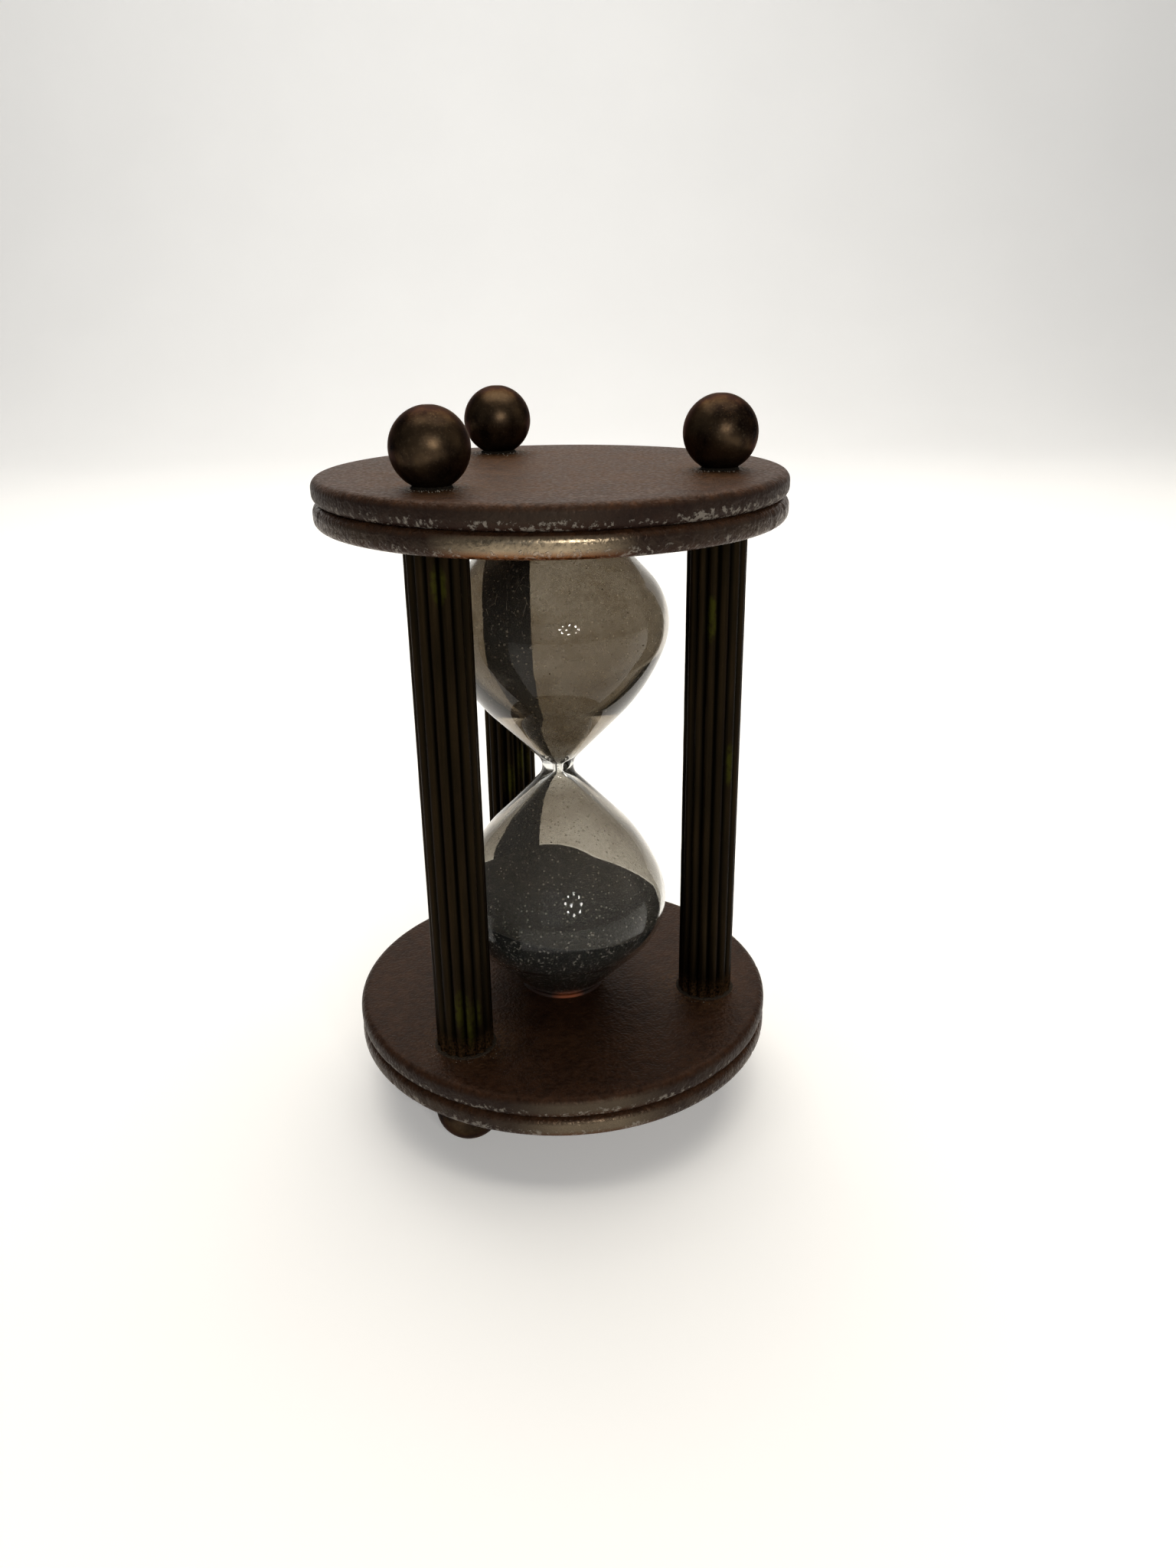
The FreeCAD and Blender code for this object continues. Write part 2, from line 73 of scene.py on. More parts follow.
# mm, dark specks and pale lint that cling to the outside of the glass
GLASS_PITS = (
    (-0.0, -24.5, 167.1), (3.6, -26.4, 161.6), (2.6, -23.8, 168.5), (14.1, -28.9, 146.1),
    (12.2, -29.7, 145.0), (15.7, -27.9, 144.8), (-12.3, -20.5, 168.8), (14.1, -28.1, 141.9),
    (-12.4, -28.7, 141.5), (6.0, -27.1, 133.4), (-8.9, -26.4, 133.7), (-15.4, -19.5, 128.7),
    (9.7, -28.9, 155.4), (-20.7, -10.2, 82.3), (-11.0, -10.1, 91.4), (8.0, -16.2, 88.0),
    (15.7, -21.1, 77.6), (-8.7, -16.4, 87.5),
)
GLASS_LINT = (
    (-22.5, -11.0, 79.5), (-22.6, -11.8, 78.9), (-1.1, -28.5, 73.5), (-3.7, -31.8, 63.9),
    (0.5, -31.1, 153.9), (-3.5, -29.7, 70.7),
)


def linear(code):
    """The linear colour of an sRGB hex value."""
    parts = [int(code[i:i + 2], 16) / 255 for i in (1, 3, 5)]
    return tuple(p / 12.92 if p <= 0.04045 else ((p + 0.055) / 1.055) ** 2.4 for p in parts)


def middle_of(node):
    """The middle of a CAD node's box."""
    low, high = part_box(node)
    return (low + high) / 2


def colour(name, code):
    """A colour of the panel, from its sRGB hex value."""
    return FloatVectorProperty(
        name=name, description=f"{name} of the hourglass", subtype="COLOR",
        size=3, min=0, max=1, default=linear(code),
    )


def length(name, description, default):
    """A length of the panel, from its millimetres."""
    return FloatProperty(
        name=name, description=description, default=default * MM, min=0, unit="LENGTH",
        precision=5,
    )


class HourglassSizes(PropertyGroup):
    """Sizes of the visible detail; the overall sizes come from the frame."""

    plate_edge: length("Plate edge", "Rounding of the plates' rims", 2.4)
    rim_nick: length("Rim nick", "Deepest nick in a rim", 0.22)
    rod_hole: length("Rod hole", "Radius of the rod holes in the plates", 2.65)
    seat_hole: length("Seat hole", "Radius of the seats' holes in the inner plates", 12.9)
    reed_count: IntProperty(name="Reeds", description="Reeds round a column", default=14, min=6)
    groove_radius: length("Groove radius", "From a column's axis to the bottom of a groove", 7.02)
    reed_apex: length("Reed apex", "Where the flanks of a reed would meet before rounding", 9.92)
    reed_rounding: length("Reed rounding", "How far the rounding of a reed reaches", 3.42)
    bore_radius: length("Bore radius", "Inside radius of a column's tube", 5.6)
    ball_radius: length("Ball radius", "Radius of the balls", 9.85)
    ball_seat: length("Ball seat", "From a ball's middle to its flat against the plate", 9.35)
    neck_radius: length("Neck radius", "Outside radius of the glass at its neck", 4.6)
    neck_bore: length("Neck bore", "Radius of the passage for the sand", 1.0)
    belly_radius: length("Belly radius", "Outside radius of a bulb", 32.25)
    belly_height: length("Belly height", "From the neck to the middle of a belly's rounding", 43.2)
    belly_rounding: length("Belly rounding", "Radius of a bulb's belly in outline", 19.0)
    shoulder_rounding: length("Shoulder rounding", "Radius of the slope towards the neck", 56.0)
    wall: length("Wall", "Thickness of the blown wall", 1.0)
    flank_angle: FloatProperty(
        name="Flank angle", description="Slope of the glass next to the neck and the end",
        default=math.radians(43.5), subtype="ANGLE",
    )
    sand_level: length("Sand level", "From the neck down to the sand's surface", 42.7)
    sand_slope: FloatProperty(
        name="Sand slope", description="Tilt of the sand's surface",
        default=math.radians(7.7), subtype="ANGLE",
    )
    sand_gap: length("Sand gap", "Room between the sand and the glass", 0.1)


class HourglassColours(PropertyGroup):
    """Colours of the finishes."""

    patina: colour("Brown patina", "#35261d")
    patina_red: colour("Red-brown patina", "#4a301f")
    patina_dark: colour("Maroon patina", "#1f110a")
    ball: colour("Ball patina", "#1c1410")
    ball_rubbed: colour("Rubbed ball patina", "#47392a")
    worn_brass: colour("Worn brass", "#9c8c74")
    bare_metal: colour("Bare metal", "#a69f94")
    dust: colour("Settled dust", "#664a30")
    column: colour("Column patina", "#0c0905")
    column_crest: colour("Column crest", "#241b0f")
    verdigris: colour("Yellow-green tarnish", "#33350b")
    sand: colour("Black sand", "#10100f")
    sand_grain: colour("Pale grains", "#75716a")
    leather: colour("Seat leather", "#2a160c")
    steel: colour("Rod steel", "#8c8a86")
    floor: colour("Floor", "#f2f1ee")


# ---------------------------------------------------------------- modelling by hand


def clear_selection():
    """Leaves edit mode with nothing selected."""
    if bpy.context.mode != "OBJECT":
        bpy.ops.object.mode_set(mode="OBJECT")
    bpy.ops.object.select_all(action="DESELECT")


def take(*pieces):
    """Selects only these pieces, the last one active."""
    clear_selection()
    for piece in pieces:
        piece.select_set(True)
    bpy.context.view_layer.objects.active = pieces[-1]


def edit(piece, kind="FACE"):
    """Enters edit mode on the piece, with nothing of it selected."""
    take(piece)
    bpy.ops.object.mode_set(mode="EDIT")
    bpy.ops.mesh.select_mode(type=kind)
    bpy.ops.mesh.select_all(action="DESELECT")


def pick(piece, kind, chosen):
    """Selects the vertices, edges or faces that chosen says yes to, and returns how many."""
    bpy.ops.mesh.select_mode(type=kind)
    bpy.ops.mesh.select_all(action="DESELECT")
    mesh = bmesh.from_edit_mesh(piece.data)
    mesh.normal_update()
    kinds = {"VERT": mesh.verts, "EDGE": mesh.edges, "FACE": mesh.faces}
    found = [element for element in kinds[kind] if chosen(element)]
    for element in found:
        element.select_set(True)
    mesh.select_flush_mode()
    bmesh.update_edit_mesh(piece.data)
    return len(found)


def modify(piece, kind, **settings):
    """Adds a modifier and applies it."""
    take(piece)
    modifier = piece.modifiers.new(kind.title(), kind)
    for name, value in settings.items():
        setattr(modifier, name, value)
    bpy.ops.object.modifier_apply(modifier=modifier.name)


def unevenness(piece, grain, height, group=""):
    """Raises and lowers the surface softly, by up to half of height, in swells of size grain."""
    texture = bpy.data.textures.new(f"{piece.name}_swell", "CLOUDS")
    texture.noise_scale = grain
    modify(
        piece, "DISPLACE", texture=texture, strength=height, mid_level=0.5,
        texture_coords="LOCAL", vertex_group=group,
    )
    bpy.data.textures.remove(texture)


def draw_outline(name, points):
    """Draws a line through points of (radius, height), one extrusion after another."""
    clear_selection()
    bpy.ops.mesh.primitive_plane_add(size=MM)
    piece = bpy.context.object
    piece.name = name
    bpy.ops.object.mode_set(mode="EDIT")
    bpy.ops.mesh.select_mode(type="VERT")
    bpy.ops.mesh.select_all(action="SELECT")
    bpy.ops.mesh.merge(type="CENTER")
    radius, height = points[0]
    bpy.ops.transform.translate(value=(radius, 0, height))
    for before, after in zip(points, points[1:]):
        step = (after[0] - before[0], 0, after[1] - before[1])
        bpy.ops.mesh.extrude_region_move(TRANSFORM_OT_translate={"value": step})
    return piece


def spin_outline(name, points, steps=144):
    """Draws an outline from pole to pole and spins it about the upright axis into a closed skin."""
    piece = draw_outline(name, points)
    bpy.ops.mesh.select_all(action="SELECT")
    bpy.ops.mesh.spin(steps=steps, angle=math.tau, center=(0, 0, 0), axis=(0, 0, 1))
    bpy.ops.mesh.select_all(action="SELECT")
    bpy.ops.mesh.remove_doubles(threshold=2 * FINE)
    bpy.ops.mesh.normals_make_consistent(inside=False)
    bpy.ops.object.mode_set(mode="OBJECT")
    return piece


def copy_of(piece, place=(0, 0, 0), turn=0.0, flipped=False):
    """A copy with its own mesh, flipped top to bottom, turned and moved, its place in its mesh."""
    take(piece)
    bpy.ops.object.duplicate()
    copy = bpy.context.object
    copy.rotation_euler = (math.pi if flipped else 0, 0, turn)
    copy.location = place
    bpy.ops.object.transform_apply(location=True, rotation=True, scale=True)
    return copy


def finish_piece(piece, name, finishes, nodes=(), smooth_angle=35):
    """Puts the piece's place in its mesh, names it, gives it its finishes and lets it ride."""
    take(piece)
    bpy.ops.object.transform_apply(location=True, rotation=True, scale=True)
    bpy.ops.object.shade_smooth_by_angle(angle=math.radians(smooth_angle))
    piece.name = name
    piece.data.name = name
    if not piece.data.materials:
        for finish in finishes:
            piece.data.materials.append(finish)
    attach(piece, "root")
    if nodes:
        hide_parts(*nodes)
    return piece


def remove(piece):
    """Takes a helper away once it has done its work."""
    bpy.data.objects.remove(piece)


# ---------------------------------------------------------------- finishes


def add_node(tree, kind, sockets=(), **settings):
    """Adds a node with its settings and returns its outputs. Its sockets are given by name, by
    number or in order. Each is a value, a socket to link, or outputs whose first is linked."""
    node = tree.nodes.new(f"ShaderNode{kind}")
    for name, value in settings.items():
        setattr(node, name, value)
    pairs = sockets.items() if isinstance(sockets, dict) else enumerate(sockets)
    for name, source in pairs:
        socket = node.inputs[name]
        if isinstance(source, bpy.types.bpy_prop_collection):
            source = source[0]
        if isinstance(source, bpy.types.NodeSocket):
            tree.links.new(source, socket)
        elif socket.type == "RGBA" and len(source) == 3:
            socket.default_value = (*source, 1)
        else:
            socket.default_value = source
    return node.outputs


def per_mm(size):
    """The scale that gives a pattern's marks a size in millimetres, on coordinates in metres."""
    return 1000 / size


class Finish:
    """A material under construction: its node tree, its coordinates and its shader."""

    def __init__(self, name, **settings):
        self.material = bpy.data.materials.new(name)
        self.material.use_nodes = True
        self.tree = self.material.node_tree
        self.tree.nodes.clear()
        self.place = self.add("TexCoord")["Object"]
        shaded = self.add("BsdfPrincipled", settings)
        self.shader = shaded["BSDF"].node
        self.add("OutputMaterial", {"Surface": shaded})

    def add(self, kind, sockets=(), **settings):
        return add_node(self.tree, kind, sockets, **settings)

    def surface(self, **sources):
        """Links sources to the shader's sockets of those names."""
        for name, source in sources.items():
            if isinstance(source, bpy.types.bpy_prop_collection):
                source = source[0]
            self.tree.links.new(source, self.shader.inputs[name.replace("_", " ")])

    def marks(self, size, detail, rough, seed, *window, stretch=(1, 1, 1)):
        """Soft random marks of a size in millimetres. A window on them is low, high and what
        those become, 0 and 1 unless given."""
        shift = (seed, seed * 0.7, -seed)
        spread = self.add("Mapping", {"Vector": self.place, "Location": shift, "Scale": stretch})
        noise = self.add(
            "TexNoise",
            {"Vector": spread, "Scale": per_mm(size), "Detail": detail, "Roughness": rough},
        )
        return self.add("MapRange", (noise, *window)) if window else noise

    def nearest(self, points, upright=1.0):
        """Distance from the nearest of some points, with heights counted for only so much."""
        place = self.place
        if upright != 1.0:
            place = self.add("VectorMath", (place, (1, 1, upright)), operation="MULTIPLY")
        shortest = None
        for x, y, z in points:
            away = self.add("VectorMath", (place, (x, y, z * upright)), operation="DISTANCE")
            if shortest is None:
                shortest = away["Value"]
            else:
                shortest = self.add("Math", (shortest, away["Value"]), operation="MINIMUM")
        return shortest


def plate_finish(name, colours, low, high, dusty, flaked, shine, rubbing, tone_and_shade, highlight_strength, highlight_place):
    """Brass plate, spun flat and bronzed brown: a satin brown skin, dulled by dust on top, its
    edges rubbed and flaked to grey-white metal."""
    f = Finish(name, **{"Specular IOR Level": 0.12, "Specular Tint": (0.7, 0.55, 0.45, 1)})
    normal = f.add("NewGeometry")["Normal"]
    up = f.add("SeparateXYZ", (normal,))[2]
    z = f.add("SeparateXYZ", (f.place,))[2]
    seed = low.z * 90  # so that no two plates are marked alike
    radius = f.nearest([(0, 0, 0)], upright=0.0)
    blotches = f.marks(13, 5, 0.65, seed, 0.33, 0.67)
    mottle = f.marks(2.4, 3, 0.6, seed + 2, 0.38, 0.62)
    speckle = f.marks(1.0, 1, 0.5, seed + 4, 0.38, 0.62)
    tone = f.add("Math", (mottle, 0.55), operation="MULTIPLY")
    tone = f.add("Math", (blotches, 0.45, tone), operation="MULTIPLY_ADD")
    # a tone below 1 darkens the whole patina; on the bottom inner plate it is partly painted shade
    tone = f.add("Math", (tone, tone_and_shade), operation="MULTIPLY")
    base = f.add(
        "Mix", {0: tone, 6: colours.patina_dark, 7: colours.patina_red}, data_type="RGBA",
    )[2]
    share = f.add("Math", (speckle, 0.6 * tone_and_shade), operation="MULTIPLY")
    base = f.add("Mix", {0: share, 6: base, 7: colours.patina}, data_type="RGBA")[2]
    # dust lies on the upper face, thickest round the balls and the columns, and thins at the rim
    bases = f.nearest([middle_of(f"foot_{place}") for place in PLACES], upright=0.0)
    near = f.add("MapRange", (bases, 8.5 * MM, 18 * MM, 1.0, 0.0))
    rim = f.add("MapRange", (radius, 42 * MM, 61 * MM, 1.0, 0.06))
    fine = f.marks(1.1, 1, 0.5, 3, 0.4, 0.6)
    lying = f.add("Math", (f.add("MapRange", (up, 0.6, 0.98)), rim), operation="MULTIPLY")
    patch = f.add("Math", (mottle, blotches), operation="ADD")
    patch = f.add("Math", (patch, 0.25), operation="MULTIPLY")
    patch = f.add("Math", (fine, 0.5, patch), operation="MULTIPLY_ADD")
    dust = f.add("Math", (near, fine), operation="MULTIPLY")
    dust = f.add("Math", (dust, 0.35), operation="MULTIPLY")
    dust = f.add("Math", (patch, dusty, dust), operation="MULTIPLY_ADD")
    dust = f.add("Math", (lying, dust), operation="MULTIPLY")
    base = f.add("Mix", {0: dust, 6: base, 7: colours.dust}, data_type="RGBA")[2]
    # flakes along both edges of the rim, in clusters, most along the lower one
    height = f.add("MapRange", (z, low.z, high.z))
    outer = f.add("MapRange", (radius, 60.8 * MM, 62.0 * MM))
    lower = f.add("MapRange", (height, 0.34, 0.82, 1.0, 0.0))
    upper = f.add("MapRange", (height, 0.72, 0.92, 0.0, 0.55))
    edge = f.add("Math", (lower, upper), operation="MAXIMUM")
    edge = f.add("Math", (outer, edge), operation="MULTIPLY")
    clusters = f.marks(11, 3, 0.5, seed + 8, 0.38, 0.66)
    chips = f.marks(1.4, 3, 0.65, seed + 5, 0.36, 0.64)
    amount = f.add("Math", (clusters, 0.45 * flaked), operation="MULTIPLY")
    amount = f.add("Math", (chips, 0.55, amount), operation="MULTIPLY_ADD")
    amount = f.add("Math", (edge, amount), operation="MULTIPLY")
    flake = f.add("MapRange", (amount, 0.45, 0.6))
    # the rim is handled most, so its skin is smoother and more like the metal; one patch of it is
    # rubbed brighter still, partly wear and partly a painted highlight where the lamps catch it
    side = f.add("Math", (f.add("MapRange", (up, 0.75, 0.2)), outer), operation="MULTIPLY")
    rubbed = f.marks(7, 3, 0.6, seed + 6, 0.4, 0.6, 0.25 * rubbing, rubbing)
    rubbed = f.add("Math", (side, rubbed), operation="MULTIPLY")
    # the rubbed patch round this place is partly wear, partly a painted highlight
    rub_highlight = f.nearest([highlight_place], upright=0.0)
    rub_highlight = f.add("MapRange", (rub_highlight, 8 * MM, 25 * MM, highlight_strength, 0.0))
    part = f.add("MapRange", (blotches, 0, 1, 0.8, 1.0))
    rub_highlight = f.add("Math", (rub_highlight, part), operation="MULTIPLY")
    part = f.add("Math", (side, rub_highlight), operation="MULTIPLY")
    rubbed = f.add("Math", (rubbed, part), operation="MAXIMUM")
    share = f.add("Math", (side, 0.88), operation="MULTIPLY")
    base = f.add("Mix", {0: share, 6: base, 7: linear("#1b1312")}, data_type="RGBA")[2]
    share = f.add("MapRange", (height, 0.12, 0.4))
    coppery = f.add(
        "Mix", {0: share, 6: linear("#7b4a28"), 7: colours.worn_brass}, data_type="RGBA",
    )[2]
    base = f.add("Mix", {0: rubbed, 6: base, 7: coppery}, data_type="RGBA")[2]
    share = f.add("Math", (flake, 0.34), operation="MULTIPLY")
    base = f.add("Mix", {0: share, 6: base, 7: colours.bare_metal}, data_type="RGBA")[2]
    gloss = f.add("MapRange", (speckle, 0, 1, shine, shine + 0.16))
    gloss = f.add("Math", (dust, 0.3, gloss), operation="MULTIPLY_ADD")
    metallic = f.add("MapRange", (rubbed, 0.0, 0.7, 0.15, 0.95))
    f.surface(Base_Color=base, Roughness=gloss, Metallic=metallic)
    grit = f.add("Math", (mottle, 0.5), operation="MULTIPLY")
    grit = f.add("Math", (speckle, 0.6, grit), operation="MULTIPLY_ADD")
    part = f.add("MapRange", (rubbed, 0.0, 0.8, 1.0, 0.25))
    grit = f.add("Math", (grit, part), operation="MULTIPLY")
    relief = f.add("Math", (flake, 0.8, grit), operation="MULTIPLY_ADD")
    f.surface(Normal=f.add("Bump", {"Distance": 0.13 * MM, "Height": relief}))
    return f.material


def spots(f, marks, soft=0.35):
    """How much a place belongs to one of the marks, each a point and a radius in millimetres."""
    total = None
    ragged = f.marks(1.6, 3, 0.7, 11)
    for point, radius in marks:
        distance = f.nearest([Vector(point) * MM], upright=0.4)
        inside = f.add("MapRange", (distance, radius * soft * MM, radius * MM, 1.0, 0.0))
        total = inside if total is None else f.add("Math", (total, inside), operation="MAXIMUM")
    share = f.add("MapRange", (ragged, 0.3, 0.62, 0.2, 1.3))
    share = f.add("Math", (total, share), operation="MULTIPLY")
    return f.add("MapRange", (share, 0.15, 0.9))


def column_finish(colours):
    """Reeded brass tube, drawn, and chemically blackened: nearly black grooves, and brown-olive
    crests where handling has rubbed the skin thin."""
    f = Finish(
        "blackened_reeded_brass", Metallic=0.7,
        **{"Specular IOR Level": 0.15, "Specular Tint": (0.35, 0.28, 0.18, 1)},
    )
    crest = f.add("Attribute", attribute_name="crest")["Fac"]
    streaks = f.marks(1.4, 4, 0.6, 4, stretch=(1, 1, 0.06))
    cloud = f.marks(14, 3, 0.6, 9, stretch=(1, 1, 0.5))
    wear = f.add("MapRange", (streaks, 0.3, 0.75, 0.25, 1.1))
    wear = f.add("Math", (f.add("MapRange", (crest, 0.45, 1.0)), wear), operation="MULTIPLY")
    part = f.add("MapRange", (cloud, 0.3, 0.7, 0.45, 1.1))
    wear = f.add("Math", (wear, part), operation="MULTIPLY")
    base = f.add("Mix", {0: wear, 6: colours.column, 7: colours.column_crest}, data_type="RGBA")[2]
    # yellow-green tarnish in a few patches on the reeds
    marks = (
        ((34.3, -28.8, 149.7), 2.6), ((34.4, -28.9, 154.5), 1.8), ((41.3, -29.9, 110.0), 2.6),
        ((41.3, -29.9, 105.5), 2.0), ((31.6, -20.0, 82.8), 1.0), ((-40.9, -30.0, 167.5), 2.6),
        ((-41.6, -29.8, 47.5), 3.2), ((-37.6, -30.2, 45.4), 2.6), ((-40.0, -30.3, 40.0), 2.8),
        ((2.0, 37.4, 92.0), 3.4), ((-3.0, 37.8, 86.0), 3.0), ((6.0, 52.4, 120.0), 4.0),
        ((48.6, -27.5, 70.0), 4.0), ((-46.0, -17.0, 120.0), 4.0),
    )
    tarnish = spots(f, marks)
    tarnish = f.add("Math", (tarnish, f.add("MapRange", (crest, 0.35, 0.9))), operation="MULTIPLY")
    share = f.add("Math", (tarnish, 0.55), operation="MULTIPLY")
    base = f.add("Mix", {0: share, 6: base, 7: colours.verdigris}, data_type="RGBA")[2]
    low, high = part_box("column_back")
    z = f.add("SeparateXYZ", (f.place,))[2]
    foot = f.add("MapRange", (z, low.z, low.z + 7 * MM, 1.0, 0.0))
    dust = f.add("Math", (foot, f.marks(0.7, 3, 0.7, 6, 0.42, 0.6, 0, 0.75)), operation="MULTIPLY")
    base = f.add("Mix", {0: dust, 6: base, 7: colours.dust}, data_type="RGBA")[2]
    gloss = f.add("MapRange", (streaks, 0.3, 0.7, 0.3, 0.46))
    gloss = f.add("Math", (dust, 0.3, gloss), operation="MULTIPLY_ADD")
    f.surface(Base_Color=base, Roughness=gloss)
    relief = f.add("Math", (f.marks(0.5, 2, 0.7, 1), 0.5, streaks), operation="MULTIPLY_ADD")
    f.surface(Normal=f.add("Bump", {"Distance": 0.05 * MM, "Height": relief}))
    return f.material


def ball_finish(colours):
    """Turned brass ball, bronzed dark brown: a satin metal sheen, olive-gold where it is rubbed,
    with a few hair scratches."""
    f = Finish(
        "bronzed_turned_brass", Metallic=0.85,
        **{"Specular IOR Level": 0.25, "Specular Tint": (0.4, 0.32, 0.25, 1)},
    )
    cloud = f.marks(7, 3, 0.55, 13)
    speckle = f.marks(0.6, 3, 0.7, 17)
    share = f.add("MapRange", (cloud, 0.35, 0.68))
    base = f.add("Mix", {0: share, 6: colours.ball, 7: colours.ball_rubbed}, data_type="RGBA")[2]
    share = f.add("MapRange", (speckle, 0.55, 0.75, 0, 0.12))
    base = f.add("Mix", {0: share, 6: base, 7: colours.worn_brass}, data_type="RGBA")[2]
    scratch = None
    for turn, seed in ((0.5, 21), (-0.9, 22)):
        spread = f.add(
            "Mapping",
            {
                "Vector": f.place, "Location": (seed, 0, 0), "Rotation": (turn, 0.4, turn * 1.7),
                "Scale": (1, 0.03, 1),
            },
        )
        lines = f.add("TexNoise", {"Scale": per_mm(1.1), "Detail": 2, "Vector": spread})
        line = f.add("Math", (lines["Fac"], 0.62), operation="SUBTRACT")
        line = f.add("Math", (line,), operation="ABSOLUTE")
        line = f.add("MapRange", (line, 0.0, 0.006, 1, 0))
        scratch = line if scratch is None else f.add("Math", (scratch, line), operation="MAXIMUM")
    scratch = f.add("Math", (scratch, f.marks(6, 2, 0.5, 31, 0.55, 0.66)), operation="MULTIPLY")
    share = f.add("Math", (scratch, 0.6), operation="MULTIPLY")
    base = f.add("Mix", {0: share, 6: base, 7: colours.dust}, data_type="RGBA")[2]
    z = f.add("SeparateXYZ", (f.add("NewGeometry")["Normal"],))[2]
    dust = f.add("MapRange", (speckle, 0.4, 0.7, 0.02, 0.16))
    dust = f.add("Math", (f.add("MapRange", (z, 0.55, 1.0)), dust), operation="MULTIPLY")
    base = f.add("Mix", {0: dust, 6: base, 7: colours.dust}, data_type="RGBA")[2]
    f.surface(Base_Color=base, Roughness=f.add("MapRange", (speckle, 0.3, 0.75, 0.3, 0.42)))
    relief = f.add("Math", (speckle, 0.6, scratch), operation="MULTIPLY_ADD")
    f.surface(Normal=f.add("Bump", {"Distance": 0.03 * MM, "Height": relief}))
    return f.material


def outer_glass_finish():
    """Blown soda-lime glass, handled and never washed: clear at the neck and nearly so round the
    bellies, with a tan haze on the slopes between them."""
    f = Finish(
        "blown_glass", Roughness=0.02, IOR=1.42,
        **{"Transmission Weight": 1.0, "Specular Tint": (0.34, 0.34, 0.34, 1)},
    )
    z = f.add("SeparateXYZ", (f.place,))[2]
    neck = middle_of("glass_vessel").z
    away = f.add("Math", (f.add("Math", (z, neck), operation="SUBTRACT"),), operation="ABSOLUTE")
    upper = f.add("MapRange", (z, neck - 1 * MM, neck + 1 * MM))
    cloud = f.marks(12, 4, 0.6, 3, 0.33, 0.67, 0.75, 1.0)
    haze = f.add("MapRange", (away, 22 * MM, 44 * MM, 1.0, 0.75))
    part = f.add("MapRange", (away, 3.0 * MM, 6 * MM, 0.1, 1.0))
    haze = f.add("Math", (part, haze), operation="MULTIPLY")
    haze = f.add("Math", (haze, cloud), operation="MULTIPLY")
    part = f.add("MapRange", (z, neck - 42 * MM, neck - 28 * MM, 0.15, 1.0))
    haze = f.add("Math", (haze, part), operation="MULTIPLY")
    tint = f.add("Mix", {0: upper, 6: linear("#aea79b"), 7: linear("#87775d")}, data_type="RGBA")[2]
    base = f.add("Mix", {0: haze, 6: linear("#f6f7f4"), 7: tint}, data_type="RGBA")[2]
    f.surface(Base_Color=base)
    milky = f.add("MapRange", (upper, 0.0, 1.0, 0.09, 0.05))
    milky = f.add("Math", (haze, milky), operation="MULTIPLY")
    f.surface(Transmission_Weight=f.add("MapRange", (milky, 0.0, 1.0, 1.0, 0.0)))
    return f.material


